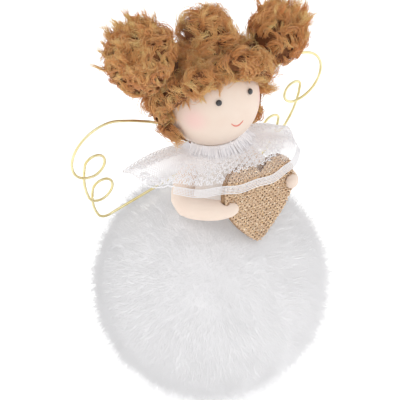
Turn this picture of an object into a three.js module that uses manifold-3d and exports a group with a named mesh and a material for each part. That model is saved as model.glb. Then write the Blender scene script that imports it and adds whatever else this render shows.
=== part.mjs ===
// A fairy ornament: a fur ball skirt, a small stuffed torso with a lace collar, a round stuffed head with
// yarn hair in two buns, arms that hold a glitter heart, and two bent wire wings that swing on the back.
// Millimetres, +Z up, the fairy faces -Y, the origin is under the ball on the surface that it stands on.

import * as THREE from 'three';
import { mergeVertices } from 'three/addons/utils/BufferGeometryUtils.js';
import Module from 'manifold-3d';

const wasm = await Module();
wasm.setup();

// Driving dimensions

// Clearance kept between two pieces that touch, and round the wire in its sleeves
const FIT = 0.3;

// Fur ball: the clipped pile's dense outline, its height above the surface that the base stands on, the cloth
// with its pile, and the slack of the cloth on the core
const BALL_RADIUS = 37.5;
const BALL_RISE = 2.5;
const FUR_CLOTH = 4.5;
const CORE_CLEARANCE = 0.9;
const BALL_NECK_HOLE_RADIUS = 4;

// Felt base that closes the ball below
const BASE_RADIUS = 12;
const BASE_EDGE_ROUND = 0.8;

// Dowel that runs from the ball through the torso into the head
const DOWEL_RADIUS = 2.5;
const DOWEL_DEPTH_IN_BALL = 30;
const DOWEL_DEPTH_IN_HEAD = 9;

// Torso: a stuffed bell on top of the ball
const TORSO_HEIGHT = 19;
const TORSO_FOOT_RADIUS = 11;
const TORSO_FOOT_SWELL = 0.4;
const TORSO_FOOT_HEIGHT = 2.3;
const TORSO_WAIST_RADIUS = 9.1;
const TORSO_WAIST_HEIGHT = 9.1;
const TORSO_SHOULDER_RADIUS = 8;
const TORSO_SHOULDER_DROP = 4.5;
const TORSO_SHOULDER_ROUND = 1.5;
const TORSO_NECK_RADIUS = 4.6;

// Head and its bead eyes
const HEAD_RADIUS = 16;
const NECK_GAP = 2.4;
const EYE_RADIUS = 1.05;
const EYE_HEIGHT = 0.8;
const EYE_AZIMUTH = 24.5;
const EYE_LATITUDE = 25;

// Hair: a cap of yarn, cut off along two planes that rise to the forehead and fall to the nape
const CAP_THICKNESS = 2.6;
const CAP_SHIFT_BACK = 1;
const CAP_SHIFT_UP = 1.2;
const FOREHEAD_TILT = 47.6;
const NAPE_TILT = 31;
const HAIRLINE_RISE = 0.4;
const CROWN_HALF_WIDTH = 8;
const CROWN_HALF_DEPTH = 9;
const CROWN_HALF_HEIGHT = 7.5;
const CROWN_AZIMUTH = 160;
const CROWN_LATITUDE = 78;
const CROWN_RAISE = 1.9;
const LUMPS = 5;
const LUMP_SHARE = 0.05;
const FRINGE_RADIUS = 4;
const FRINGE_END_RADIUS = 2.9;
const FRINGE_STAND = 3.6;
const LOCK_RADIUS = 4.4;
const LOCK_TIP_RADIUS = 0.9;
const LOCK_STAND_SHARE = 0.8;
const BUN_LEFT = { azimuth: -103, latitude: 38, radius: 12.4, height: 21.5 };
const BUN_RIGHT = { azimuth: 86, latitude: 28, radius: 10.2, height: 19.5 };
const BUN_NECK_RADIUS = 5;
const BUN_FLARE_SHARE = 0.82;
const BUN_FLARE_RISE = 2.5;
const TIE_THICKNESS = 1.3;

// Arms: stuffed tubes, fuller at the elbow, ending in mitten hands
const ARM_RADIUS = 3.8;
const HAND_RADIUS = 3.2;
const SHOULDER_DROP = 4.8;
const SHOULDER_FORWARD = 1;
const UPPER_ARM_BULGE_OUT = 0.6;
const UPPER_ARM_BULGE_BACK = 0.8;
const UPPER_ARM_BULGE_UP = 0.6;
const ELBOW_OUT = 5.3;
const ELBOW_FORWARD = 7.8;
const ELBOW_RISE = 6.1;
const WRIST_OVERHANG = 1.2;
const WRIST_DROP = 2.6;
const WRIST_BACK = 4.6;
const HAND_INSET = 3.3;
const HAND_STAND = 2.6;
const GRIP_LEFT = 15.7;
const GRIP_RIGHT = 19;

// Heart: a card board with a layer of glitter cloth, held upright in front of the torso
const HEART_WIDTH = 30;
const HEART_HEIGHT = 28;
const HEART_NOTCH = 3.6;
const HEART_SHOULDER = 19;
const HEART_LOBE_X = 7.5;
const HEART_BOARD = 1.5;
const HEART_CLOTH = 0.7;
const HEART_TIP_X = 2;
const HEART_TIP_FORWARD = 22.4;
const HEART_TILT = 8;
const HEART_YAW = 6.5;
const HEART_LEAN = 8;

// Lace collar: gathered round the neck, open at the back, laid over the shoulders and the heart's top
const LACE_THICKNESS = 0.7;
const COLLAR_NECK_RADIUS = 6.6;
const COLLAR_FRONT_REACH = 26;
const COLLAR_LEFT_REACH = 33;
const COLLAR_RIGHT_REACH = 29;
const COLLAR_BACK_EDGE = 2.5;
const COLLAR_FRONT_DROP = 0.6;
const COLLAR_FRONT_ROOM = 1.8;
const COLLAR_FRONT_BEND = 10;
const COLLAR_SIDE_DROP = 3.6;
const COLLAR_SIDE_LIFT = 0.8;
const COLLAR_SIDE_BEND = 3;
const COLLAR_SIDE_FROM = 48;
const COLLAR_SIDE_TO = 85;
const COLLAR_LEAN = 4.5;
const COLLAR_FOLDS = 13;
const COLLAR_FOLD_DEPTH = 1.3;
const COLLAR_FRONT_FOLD_SHARE = 0.25;
const HEM_REACH = 0.88;
const HEM_THICKNESS = 0.84;
const HEM_FROM = 0.2;
const HEM_TO = 0.82;
const THREAD_RADIUS = 0.45;

// Wings: each one bent wire, hinged on its straight root in a sewn sleeve
const WIRE_DIAMETER = 0.9;
const WING_RAKE = 12;
const WING_HINGE_X = 2.6;
const WING_ROOT_LENGTH = 9.4;
const WING_LAYER_STEP = 1.5;
const WING_RETURN = 26.5;
const WING_ROOT_RADIUS = 3;
const WING_SHOULDER_RADIUS = 29;
const WING_TOP_RADIUS = 98;
const WING_TIP_RADIUS = 12.2;
const WING_UNDER_TIP_RADIUS = 8.7;
const WING_WAIST_RADIUS = 33.8;
const WING_LOWER_LOOP_RADIUS = 5.5;
const WING_LOWER_EDGE_RADIUS = 24;
const WING_FOOT_RADIUS = 4.4;
const CURL_RADIUS = 4.4;
const CURL_END_RADIUS = 3.5;
const PATCH_WIDTH = 10;
const PATCH_HEIGHT = 7;
const PATCH_THICKNESS = 1;
const SLEEVE_WALL = 0.7;
const BEND_STEP = 24;
const GAP_SAMPLES = 600;

// The bends of a wing, from the root's upper end: radius, angle turned and whether the wire changes layer
const CURL = [
  { radius: CURL_RADIUS, angle: 112, climbs: true },
  { radius: CURL_END_RADIUS, angle: 155, climbs: true },
];
const WING_BENDS = [
  { radius: WING_ROOT_RADIUS, angle: 21 },
  { radius: WING_SHOULDER_RADIUS, angle: 37 },
  { radius: WING_TOP_RADIUS, angle: 12.2 },
  { radius: WING_TIP_RADIUS, angle: 138.5 },
  { radius: WING_UNDER_TIP_RADIUS, angle: 61.5 },
  ...CURL,
  { radius: WING_WAIST_RADIUS, angle: 28.5 },
  { radius: WING_LOWER_LOOP_RADIUS, angle: 65 },
  ...CURL,
  { radius: WING_LOWER_EDGE_RADIUS, angle: 34.3 },
  { radius: WING_FOOT_RADIUS, angle: 82.5 },
];

// Places worked out from the dimensions

const degrees = THREE.MathUtils.degToRad;
const ballCentreZ = BALL_RISE + BALL_RADIUS;
const ballTopZ = ballCentreZ + BALL_RADIUS;
const coreRadius = BALL_RADIUS - FUR_CLOTH - CORE_CLEARANCE;
const waistZ = ballTopZ + TORSO_WAIST_HEIGHT;
const torsoTopZ = ballTopZ + TORSO_HEIGHT;
const headZ = torsoTopZ + NECK_GAP + HEAD_RADIUS;
const boreRadius = DOWEL_RADIUS + FIT;
const wireRadius = WIRE_DIAMETER / 2;
const capRadius = HEAD_RADIUS + CAP_THICKNESS;
const crownHalves = [CROWN_HALF_WIDTH, CROWN_HALF_DEPTH, CROWN_HALF_HEIGHT];
const capCentre = new THREE.Vector3(0, CAP_SHIFT_BACK, headZ + CAP_SHIFT_UP);

// Height of a ball's upper surface at a distance from its axis
function ballHeight(radius, distance) {
  return ballCentreZ + Math.sqrt(radius * radius - distance * distance);
}

// A point near the head, by its angle from the face's middle, its angle above the level and its distance
function onHead(azimuth, latitude, distance) {
  const level = distance * Math.cos(degrees(latitude));
  return new THREE.Vector3(
    level * Math.sin(degrees(azimuth)),
    -level * Math.cos(degrees(azimuth)),
    headZ + distance * Math.sin(degrees(latitude)),
  );
}

// Building blocks

const parts = new THREE.Group();

function finish(color, roughness, metalness = 0) {
  return new THREE.MeshStandardMaterial({ color, roughness, metalness });
}

function addPart(name, geometry, material, parent = parts) {
  const mesh = new THREE.Mesh(geometry, material);
  mesh.name = name;
  parent.add(mesh);
  return mesh;
}

// Joins the seams of a geometry so that it is one closed surface with shared corners
function closed(geometry) {
  const bare = geometry.clone();
  bare.deleteAttribute('normal');
  bare.deleteAttribute('uv');
  const merged = mergeVertices(bare, 1e-4);
  merged.computeVertexNormals();
  return merged;
}

function toSolid(geometry) {
  const merged = closed(geometry);
  const mesh = new wasm.Mesh({
    numProp: 3,
    vertProperties: Float32Array.from(merged.attributes.position.array),
    triVerts: Uint32Array.from(merged.index.array),
  });
  return new wasm.Manifold(mesh);
}

function fromSolid(solid) {
  const mesh = solid.getMesh();
  const geometry = new THREE.BufferGeometry();
  geometry.setAttribute('position', new THREE.BufferAttribute(mesh.vertProperties, 3));
  geometry.setIndex(new THREE.BufferAttribute(mesh.triVerts, 1));
  geometry.computeVertexNormals();
  return geometry;
}

// Cuts the room of its neighbours out of a piece
function carve(geometry, ...neighbours) {
  const solids = neighbours.map(toSolid);
  return fromSolid(solids.reduce((rest, solid) => rest.subtract(solid), toSolid(geometry)));
}

function join(...geometries) {
  const solids = geometries.map(toSolid);
  return fromSolid(solids.reduce((whole, solid) => whole.add(solid)));
}

// Turns a profile of [radius, height] points about the Z axis; the profile runs with the solid on its left
function revolve(profile, segments) {
  const points = profile.map(([radius, height]) => new THREE.Vector2(radius, height));
  const geometry = new THREE.LatheGeometry(points, segments);
  geometry.rotateX(Math.PI / 2);
  return closed(geometry);
}

// Points of an arc in a profile: centre height, radius and two angles from the level, in degrees
function profileArc(height, radius, from, to, steps) {
  return Array.from({ length: steps + 1 }, (_, i) => {
    const angle = degrees(from + ((to - from) * i) / steps);
    return [radius * Math.cos(angle), height + radius * Math.sin(angle)];
  });
}

function ball(radius, centre, segments = 32) {
  const geometry = new THREE.SphereGeometry(radius, segments, segments / 2);
  geometry.translate(centre.x, centre.y, centre.z);
  return closed(geometry);
}

// A round section swept along a soft path, with a radius for each share of its length and rounded ends
function limb(points, radiusAt, steps, sides) {
  const path = new THREE.CatmullRomCurve3(points);
  const positions = [];
  const side = new THREE.Vector3(0.31, 0.17, 0.93);
  const corner = new THREE.Vector3();
  for (let i = 0; i <= steps; i += 1) {
    const share = (1 - Math.cos((Math.PI * i) / steps)) / 2;
    const middle = path.getPointAt(share);
    const along = path.getTangentAt(share);
    side.addScaledVector(along, -side.dot(along)).normalize();
    const across = along.clone().cross(side);
    const endRound = Math.sqrt(Math.max(0, 1 - Math.abs(2 * share - 1) ** 6));
    const radius = radiusAt(share) * endRound;
    for (let k = 0; k < sides; k += 1) {
      const angle = (2 * Math.PI * k) / sides;
      corner.copy(middle).addScaledVector(side, radius * Math.cos(angle));
      corner.addScaledVector(across, radius * Math.sin(angle));
      positions.push(corner.x, corner.y, corner.z);
    }
  }
  const index = [];
  for (let i = 0; i < steps; i += 1) {
    for (let k = 0; k < sides; k += 1) {
      const a = i * sides + k;
      const b = i * sides + ((k + 1) % sides);
      if (i > 0) index.push(a, b, a + sides);
      if (i < steps - 1) index.push(b, b + sides, a + sides);
    }
  }
  const geometry = new THREE.BufferGeometry();
  geometry.setAttribute('position', new THREE.Float32BufferAttribute(positions, 3));
  geometry.setIndex(index);
  return closed(geometry);
}

// A sheet of even thickness over a surface that is given by two shares from 0 to 1
function sheet(pointAt, thickness, columns, rows) {
  const reach = 1e-3;
  const positions = [];
  for (const face of [0.5, -0.5]) {
    for (let i = 0; i <= columns; i += 1) {
      for (let j = 0; j <= rows; j += 1) {
        const u = i / columns;
        const v = j / rows;
        const along = pointAt(u + reach, v).sub(pointAt(u - reach, v));
        const across = pointAt(u, v + reach).sub(pointAt(u, v - reach));
        const normal = across.cross(along).normalize();
        const corner = pointAt(u, v).addScaledVector(normal, face * thickness);
        positions.push(corner.x, corner.y, corner.z);
      }
    }
  }
  const stride = rows + 1;
  const under = (columns + 1) * stride;
  const index = [];
  const quad = (a, b, c, d) => index.push(a, b, c, a, c, d);
  for (let i = 0; i < columns; i += 1) {
    for (let j = 0; j < rows; j += 1) {
      const a = i * stride + j;
      quad(a, a + 1, a + stride + 1, a + stride);
      quad(a + under, a + stride + under, a + stride + 1 + under, a + 1 + under);
    }
    const near = i * stride;
    const far = near + rows;
    quad(near, near + stride, near + stride + under, near + under);
    quad(far, far + under, far + stride + under, far + stride);
  }
  for (let j = 0; j < rows; j += 1) {
    const last = columns * stride + j;
    quad(j, j + under, j + 1 + under, j + 1);
    quad(last, last + 1, last + 1 + under, last + under);
  }
  const geometry = new THREE.BufferGeometry();
  geometry.setAttribute('position', new THREE.Float32BufferAttribute(positions, 3));
  geometry.setIndex(index);
  return closed(geometry);
}

// Finishes

const whiteFur = finish('#f3f2f3', 0.95);
const foam = finish('#efece4', 0.9);
const felt = finish('#f1eff0', 0.95);
const wood = finish('#d8b98c', 0.7);
const whiteCotton = finish('#f2efee', 0.9);
const skinKnit = finish('#f0dccd', 0.85);
const yarn = finish('#b27c48', 0.95);
const elastic = finish('#6b4426', 0.8);
const blackBead = finish('#3d3d3f', 0.35);
const glitterCloth = finish('#c9a171', 0.55, 0.3);
const card = finish('#b99a78', 0.9);
const lace = finish('#f5f4f8', 0.85);
const goldWire = finish('#cfb868', 0.28, 1);

// Base and ball

const baseTopZ = ballCentreZ - Math.sqrt(coreRadius ** 2 - BASE_RADIUS ** 2);

function feltBase() {
  const round = BASE_EDGE_ROUND;
  return revolve([
    [0, 0],
    [BASE_RADIUS - round, 0],
    [BASE_RADIUS, round],
    [BASE_RADIUS, baseTopZ - FIT],
    [0, baseTopZ - FIT],
  ], 40);
}

function ballCore() {
  const floorAngle = -THREE.MathUtils.radToDeg(Math.acos(BASE_RADIUS / coreRadius));
  const boreAngle = THREE.MathUtils.radToDeg(Math.acos(boreRadius / coreRadius));
  const boreFloorZ = ballTopZ - DOWEL_DEPTH_IN_BALL - FIT;
  return revolve([
    [0, baseTopZ],
    ...profileArc(ballCentreZ, coreRadius, floorAngle, boreAngle, 10),
    [boreRadius, boreFloorZ],
    [0, boreFloorZ],
  ], 24);
}

// The cover is open below for the felt base and above for the dowel
function furCover() {
  const inner = BALL_RADIUS - FUR_CLOTH;
  const lower = BASE_RADIUS + FIT;
  const angleAt = (distance, radius) => THREE.MathUtils.radToDeg(Math.acos(distance / radius));
  const outerArc = profileArc(
    ballCentreZ, BALL_RADIUS, -angleAt(lower, BALL_RADIUS), angleAt(BALL_NECK_HOLE_RADIUS, BALL_RADIUS), 16,
  );
  const innerArc = profileArc(
    ballCentreZ, inner, angleAt(BALL_NECK_HOLE_RADIUS, inner), -angleAt(lower, inner), 7,
  );
  return revolve([...outerArc, ...innerArc, outerArc[0]], 36);
}

addPart('base_disc', feltBase(), felt);
addPart('ball_core', ballCore(), foam);
addPart('fur_cover', furCover(), whiteFur);

// Dowel, torso and head

function neckDowel() {
  const foot = ballTopZ - DOWEL_DEPTH_IN_BALL;
  const top = headZ - HEAD_RADIUS + DOWEL_DEPTH_IN_HEAD;
  return revolve([[0, foot], [DOWEL_RADIUS, foot], [DOWEL_RADIUS, top], [0, top]], 24);
}

// The bell rests on the ball, swells above its foot and draws in to the shoulders and the neck
function torso(grow = 0) {
  const seat = BALL_RADIUS + FIT - grow;
  const foot = TORSO_FOOT_RADIUS + grow;
  const swell = new THREE.SplineCurve([
    new THREE.Vector2(foot, ballHeight(seat, foot)),
    new THREE.Vector2(foot + TORSO_FOOT_SWELL, ballTopZ + TORSO_FOOT_HEIGHT),
    new THREE.Vector2(TORSO_WAIST_RADIUS + grow, waistZ),
    new THREE.Vector2(TORSO_SHOULDER_RADIUS + grow, torsoTopZ - TORSO_SHOULDER_DROP),
    new THREE.Vector2(
      TORSO_SHOULDER_RADIUS - TORSO_SHOULDER_ROUND / 2 + grow,
      torsoTopZ - TORSO_SHOULDER_ROUND,
    ),
    new THREE.Vector2(TORSO_NECK_RADIUS, torsoTopZ + grow),
  ]);
  const bore = grow > 0 ? 0 : boreRadius;
  const seatSteps = 4;
  const seatArc = Array.from({ length: seatSteps }, (_, i) => {
    const distance = bore + ((foot - bore) * i) / seatSteps;
    return [distance, ballHeight(seat, distance)];
  });
  const outline = swell.getPoints(11).map((point) => [point.x, point.y]);
  return revolve([...seatArc, ...outline, [bore, torsoTopZ + grow], seatArc[0]], 24);
}

function headBall() {
  const boreAngle = THREE.MathUtils.radToDeg(Math.acos(boreRadius / HEAD_RADIUS));
  const boreTop = headZ - HEAD_RADIUS + DOWEL_DEPTH_IN_HEAD + FIT;
  return revolve([
    [0, boreTop],
    [boreRadius, boreTop],
    ...profileArc(headZ, HEAD_RADIUS, -boreAngle, 90, 16),
  ], 32);
}

// A flat-backed dome on the face, its back just clear of the head
function beadEye(side) {
  const dome = Array.from({ length: 5 }, (_, i) => {
    const angle = (Math.PI / 2) * (i / 4);
    return [EYE_RADIUS * Math.cos(angle), EYE_HEIGHT * Math.sin(angle)];
  });
  const geometry = revolve([[0, 0], ...dome], 16);
  const seat = onHead(side * EYE_AZIMUTH, EYE_LATITUDE, HEAD_RADIUS + FIT);
  const outward = seat.clone().sub(new THREE.Vector3(0, 0, headZ)).normalize();
  const turn = new THREE.Quaternion().setFromUnitVectors(new THREE.Vector3(0, 0, 1), outward);
  geometry.applyQuaternion(turn);
  geometry.translate(seat.x, seat.y, seat.z);
  return geometry;
}

addPart('neck_dowel', neckDowel(), wood);
addPart('torso', torso(), whiteCotton);
addPart('head', headBall(), skinKnit);
addPart('eye_left', beadEye(-1), blackBead);
addPart('eye_right', beadEye(1), blackBead);

// Hair

// The half space above a slanted plane through the head, as a block that stands on the plane
function aboveHairline(tilt, drop) {
  const size = 6 * HEAD_RADIUS;
  const block = new THREE.BoxGeometry(size, size, size);
  block.translate(0, 0, size / 2 + HAIRLINE_RISE - drop);
  block.rotateX(-degrees(tilt));
  block.translate(0, 0, headZ);
  return toSolid(block);
}

function hairCap(grow = 0) {
  const shell = toSolid(ball(capRadius + grow, capCentre, 30));
  const hollow = toSolid(ball(HEAD_RADIUS + FIT - grow, new THREE.Vector3(0, 0, headZ), 30));
  const hairline = aboveHairline(FOREHEAD_TILT, grow).intersect(aboveHairline(NAPE_TILT, grow));
  return fromSolid(shell.subtract(hollow).intersect(hairline));
}

// A tuft of loops on the crown, lumpy like a ball of yarn
function hairCrown(grow = 0) {
  const geometry = new THREE.SphereGeometry(1, 20, 12);
  const spot = geometry.attributes.position;
  for (let i = 0; i < spot.count; i += 1) {
    const point = new THREE.Vector3().fromBufferAttribute(spot, i);
    const around = Math.atan2(point.y, point.x);
    const lump = 1 + LUMP_SHARE * Math.cos(LUMPS * around) * (1 - point.z ** 2);
    spot.setXYZ(i, ...crownHalves.map((radius, axis) => point.getComponent(axis) * lump * (radius + grow)));
  }
  const seat = onHead(CROWN_AZIMUTH, CROWN_LATITUDE, capRadius + CAP_SHIFT_UP + CROWN_RAISE);
  geometry.translate(seat.x, seat.y, seat.z);
  return closed(geometry);
}

// Rolled fringe: one roll over each side of the forehead, thick in the middle
const FRINGE_ROUTES = {
  left: [[-33, 57], [-52, 47], [-72, 32], [-88, 13], [-97, -8]],
  right: [[-25, 60], [3, 60], [30, 52], [55, 37], [74, 16], [82, -2]],
};

function fringeRoll(route, grow = 0) {
  const points = route.map(([azimuth, latitude]) => onHead(azimuth, latitude, HEAD_RADIUS + FRINGE_STAND));
  const swell = FRINGE_RADIUS - FRINGE_END_RADIUS;
  const bulge = (share) => FRINGE_END_RADIUS + swell * Math.sin(Math.PI * share) + grow;
  return limb(points, bulge, 18, 12);
}

// A side lock tapers from the hairline to a point beside the cheek
const LOCK_ROUTE = [[112, 24], [103, 5], [90, -10], [72, -26], [59, -37]];

function sideLock(side) {
  const taper = (share) => THREE.MathUtils.lerp(LOCK_RADIUS, LOCK_TIP_RADIUS, share);
  const points = LOCK_ROUTE.map(([azimuth, latitude], i) => {
    const stand = LOCK_STAND_SHARE * taper(i / (LOCK_ROUTE.length - 1));
    return onHead(side * azimuth, latitude, HEAD_RADIUS + FIT + stand);
  });
  return limb(points, taper, 14, 10);
}

// A bun stands on a short tied neck and swells into a lumpy ball; its room takes in the tie as well
function hairBun(bun, grow = 0) {
  const waist = BUN_NECK_RADIUS + (grow > 0 ? TIE_THICKNESS + FIT + grow : 0);
  const radius = bun.radius + grow;
  const tieTop = TIE_THICKNESS + 2 * FIT - grow;
  const middle = bun.height - bun.radius;
  const dome = profileArc(middle, radius, 0, 90, 3);
  const outline = new THREE.SplineCurve([
    new THREE.Vector2(waist, -grow),
    new THREE.Vector2(waist, tieTop),
    new THREE.Vector2(BUN_FLARE_SHARE * radius, tieTop + BUN_FLARE_RISE),
    ...dome.map(([across, height]) => new THREE.Vector2(across, height)),
  ]);
  const profile = outline.getPoints(15).map((point) => [Math.max(0, point.x), point.y]);
  const geometry = revolve([[0, -grow], ...profile], 22);
  const spot = geometry.attributes.position;
  for (let i = 0; i < spot.count; i += 1) {
    const rise = THREE.MathUtils.smoothstep(spot.getZ(i), tieTop, middle);
    const around = Math.atan2(spot.getY(i), spot.getX(i));
    const lump = 1 + LUMP_SHARE * rise * Math.cos(LUMPS * (around + spot.getZ(i) / bun.height));
    spot.setXY(i, spot.getX(i) * lump, spot.getY(i) * lump);
  }
  return geometry;
}

function bunTie() {
  const middle = TIE_THICKNESS / 2;
  const loop = new THREE.TorusGeometry(BUN_NECK_RADIUS + FIT + middle, middle, 6, 20);
  loop.translate(0, 0, FIT + middle);
  return closed(loop);
}

// Stands a bun or its tie on the cap, upright on the cap's surface
function standOnCap(geometry, bun) {
  const outward = onHead(bun.azimuth, bun.latitude, 1).sub(new THREE.Vector3(0, 0, headZ));
  const turn = new THREE.Quaternion().setFromUnitVectors(new THREE.Vector3(0, 0, 1), outward);
  const seat = capCentre.clone().addScaledVector(outward, capRadius + FIT);
  geometry.applyQuaternion(turn);
  geometry.translate(seat.x, seat.y, seat.z);
  return geometry;
}

const grownCap = hairCap(FIT);
const grownHead = ball(HEAD_RADIUS + FIT, new THREE.Vector3(0, 0, headZ), 30);
const grownCrown = hairCrown(FIT);
const grownFringes = Object.values(FRINGE_ROUTES).map((route) => fringeRoll(route, FIT));
const bunRooms = [BUN_LEFT, BUN_RIGHT].map((bun) => standOnCap(hairBun(bun, FIT), bun));
const hairRooms = [grownCap, grownHead, grownCrown, ...bunRooms];

addPart('hair_cap', hairCap(), yarn);
addPart('hair_crown', carve(hairCrown(), grownCap, grownHead, ...bunRooms), yarn);
addPart('hair_bun_left', standOnCap(hairBun(BUN_LEFT), BUN_LEFT), yarn);
addPart('hair_bun_right', standOnCap(hairBun(BUN_RIGHT), BUN_RIGHT), yarn);
addPart('hair_fringe_right', carve(fringeRoll(FRINGE_ROUTES.right), ...hairRooms), yarn);
addPart('hair_fringe_left', carve(fringeRoll(FRINGE_ROUTES.left), ...hairRooms, grownFringes[1]), yarn);
addPart('hair_lock_left', carve(sideLock(-1), ...hairRooms, ...grownFringes), yarn);
addPart('hair_lock_right', carve(sideLock(1), ...hairRooms, ...grownFringes), yarn);
addPart('bun_tie_left', standOnCap(bunTie(), BUN_LEFT), elastic);
addPart('bun_tie_right', standOnCap(bunTie(), BUN_RIGHT), elastic);

// Heart

const heartTip = new THREE.Vector3(HEART_TIP_X, -HEART_TIP_FORWARD, 0);
heartTip.z = ballHeight(BALL_RADIUS + FIT, heartTip.length());
const heartTurn = new THREE.Euler(-degrees(HEART_TILT), degrees(HEART_LEAN), degrees(HEART_YAW), 'ZXY');

// The tip is at the origin; straight lower sides run into two round lobes, drawn by the curves' handles
function heartOutline() {
  const half = HEART_WIDTH / 2;
  const lobe = HEART_HEIGHT - HEART_SHOULDER;
  const notchZ = HEART_HEIGHT - HEART_NOTCH;
  const sideStart = new THREE.Vector2(0.28 * half, 0.09 * HEART_SHOULDER);
  const sideEnd = new THREE.Vector2(half, 0.62 * HEART_SHOULDER);
  const lobeStart = new THREE.Vector2(half, HEART_HEIGHT + 0.16 * lobe);
  const lobeEnd = new THREE.Vector2(0.3 * half, HEART_HEIGHT + 0.37 * lobe);
  const outline = new THREE.Shape();
  outline.moveTo(0, 0);
  outline.bezierCurveTo(sideStart.x, sideStart.y, sideEnd.x, sideEnd.y, half, HEART_SHOULDER);
  outline.bezierCurveTo(lobeStart.x, lobeStart.y, lobeEnd.x, lobeEnd.y, 0, notchZ);
  outline.bezierCurveTo(-lobeEnd.x, lobeEnd.y, -lobeStart.x, lobeStart.y, -half, HEART_SHOULDER);
  outline.bezierCurveTo(-sideEnd.x, sideEnd.y, -sideStart.x, sideStart.y, 0, 0);
  return outline;
}

// A layer of the heart, its back at a distance in front of the tip's plane
function heartLayer(back, thickness, grow = 0) {
  const geometry = new THREE.ExtrudeGeometry(heartOutline(), {
    depth: thickness,
    curveSegments: 12,
    bevelEnabled: grow > 0,
    bevelThickness: grow,
    bevelSize: grow,
    bevelSegments: 1,
  });
  geometry.rotateX(Math.PI / 2);
  geometry.translate(0, -back, 0);
  geometry.applyMatrix4(new THREE.Matrix4().makeRotationFromEuler(heartTurn));
  geometry.translate(heartTip.x, heartTip.y, heartTip.z);
  return closed(geometry);
}

// A point of the heart by its sideways place, its height above the tip and its distance in front
function onHeart(sideways, height, front) {
  return new THREE.Vector3(sideways, -front, height).applyEuler(heartTurn).add(heartTip);
}

const heartThickness = HEART_BOARD + FIT + HEART_CLOTH;
const grownHeart = heartLayer(0, heartThickness, FIT);

addPart('heart_board', heartLayer(0, HEART_BOARD), card);
addPart('heart_cloth', heartLayer(HEART_BOARD + FIT, HEART_CLOTH), glitterCloth);

// Arms

// From the shoulder down to the elbow, forward past the heart's edge, with the hand in front of the heart
function arm(side) {
  const edge = HEART_WIDTH / 2;
  const grip = side < 0 ? GRIP_LEFT : GRIP_RIGHT;
  const shoulderZ = torsoTopZ - SHOULDER_DROP;
  const shoulder = new THREE.Vector3(side * TORSO_SHOULDER_RADIUS, -SHOULDER_FORWARD, shoulderZ);
  const elbowOut = side * (TORSO_FOOT_RADIUS + ELBOW_OUT);
  const elbow = new THREE.Vector3(elbowOut, -ELBOW_FORWARD, ballTopZ + ELBOW_RISE);
  const bulge = new THREE.Vector3(side * UPPER_ARM_BULGE_OUT, UPPER_ARM_BULGE_BACK, UPPER_ARM_BULGE_UP);
  const upperArm = shoulder.clone().lerp(elbow, 0.5).add(bulge);
  const wrist = onHeart(side * (edge + WRIST_OVERHANG), grip - WRIST_DROP, -WRIST_BACK);
  const hand = onHeart(side * (edge - HAND_INSET), grip, heartThickness + HAND_STAND);
  const points = [shoulder, upperArm, elbow, wrist, hand];
  const taper = (share) => THREE.MathUtils.smoothstep(share, 0.5, 1);
  const swell = (share) => THREE.MathUtils.lerp(ARM_RADIUS, HAND_RADIUS, taper(share));
  return carve(limb(points, swell, 22, 12), torso(FIT), grownHeart);
}

addPart('arm_left', arm(-1), skinKnit);
addPart('arm_right', arm(1), skinKnit);

// Lace collar

const collarNeckZ = torsoTopZ + 2 * FIT + LACE_THICKNESS;
const lobeTops = [-HEART_LOBE_X, HEART_LOBE_X].map((sideways) => onHeart(sideways, HEART_HEIGHT, 0).z);
const frontLift = Math.max(...lobeTops) + COLLAR_FRONT_ROOM - collarNeckZ;

// A point of the lace by two shares: from end to end round the neck, and from the neck to the outer edge
function collarPoint(u, v) {
  const sideReach = u < 0.5 ? COLLAR_LEFT_REACH : COLLAR_RIGHT_REACH;
  const sideRadius = COLLAR_NECK_RADIUS + Math.max(v, 0) * (sideReach - COLLAR_NECK_RADIUS);
  const halfTurn = Math.PI / 2 + Math.asin(Math.min(1, COLLAR_BACK_EDGE / sideRadius));
  const angle = (2 * u - 1) * halfTurn;
  const sideways = Math.sin(angle) ** 2;
  const reach = COLLAR_FRONT_REACH + (sideReach - COLLAR_FRONT_REACH) * sideways;
  const radius = COLLAR_NECK_RADIUS + v * (reach - COLLAR_NECK_RADIUS);
  const { lerp, smoothstep } = THREE.MathUtils;
  const side = smoothstep(Math.abs(angle), degrees(COLLAR_SIDE_FROM), degrees(COLLAR_SIDE_TO));
  const lift = lerp(frontLift, COLLAR_SIDE_LIFT, side);
  const fall = lerp(frontLift + COLLAR_FRONT_DROP, COLLAR_SIDE_DROP, side);
  const bend = lerp(COLLAR_FRONT_BEND, COLLAR_SIDE_BEND, side);
  const foldDepth = COLLAR_FOLD_DEPTH * lerp(COLLAR_FRONT_FOLD_SHARE, 1, side);
  const folds = foldDepth * Math.max(v, 0) ** 2 * Math.cos(COLLAR_FOLDS * angle);
  const x = radius * Math.sin(angle);
  const drape = lift * v * (2 - v) - fall * Math.abs(v) ** bend;
  return new THREE.Vector3(
    x,
    -radius * Math.cos(angle),
    collarNeckZ + drape + folds - x * Math.tan(degrees(COLLAR_LEAN)),
  );
}

// The woven hem runs along the lace's front edge
function hemPoint(u, v) {
  const length = COLLAR_FRONT_REACH - COLLAR_NECK_RADIUS;
  const start = 1 + FIT / length;
  return collarPoint(THREE.MathUtils.lerp(HEM_FROM, HEM_TO, u), start + (HEM_REACH * v) / length);
}

function gatherThread() {
  const loop = new THREE.TorusGeometry(COLLAR_NECK_RADIUS - FIT - THREAD_RADIUS, THREAD_RADIUS, 6, 24);
  loop.translate(0, 0, torsoTopZ + FIT + THREAD_RADIUS);
  return closed(loop);
}

addPart('lace_collar', sheet(collarPoint, LACE_THICKNESS, 64, 7), lace);
addPart('collar_hem', sheet(hemPoint, HEM_THICKNESS, 40, 1), lace);
addPart('gather_thread', gatherThread(), lace);

// Wings

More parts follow.
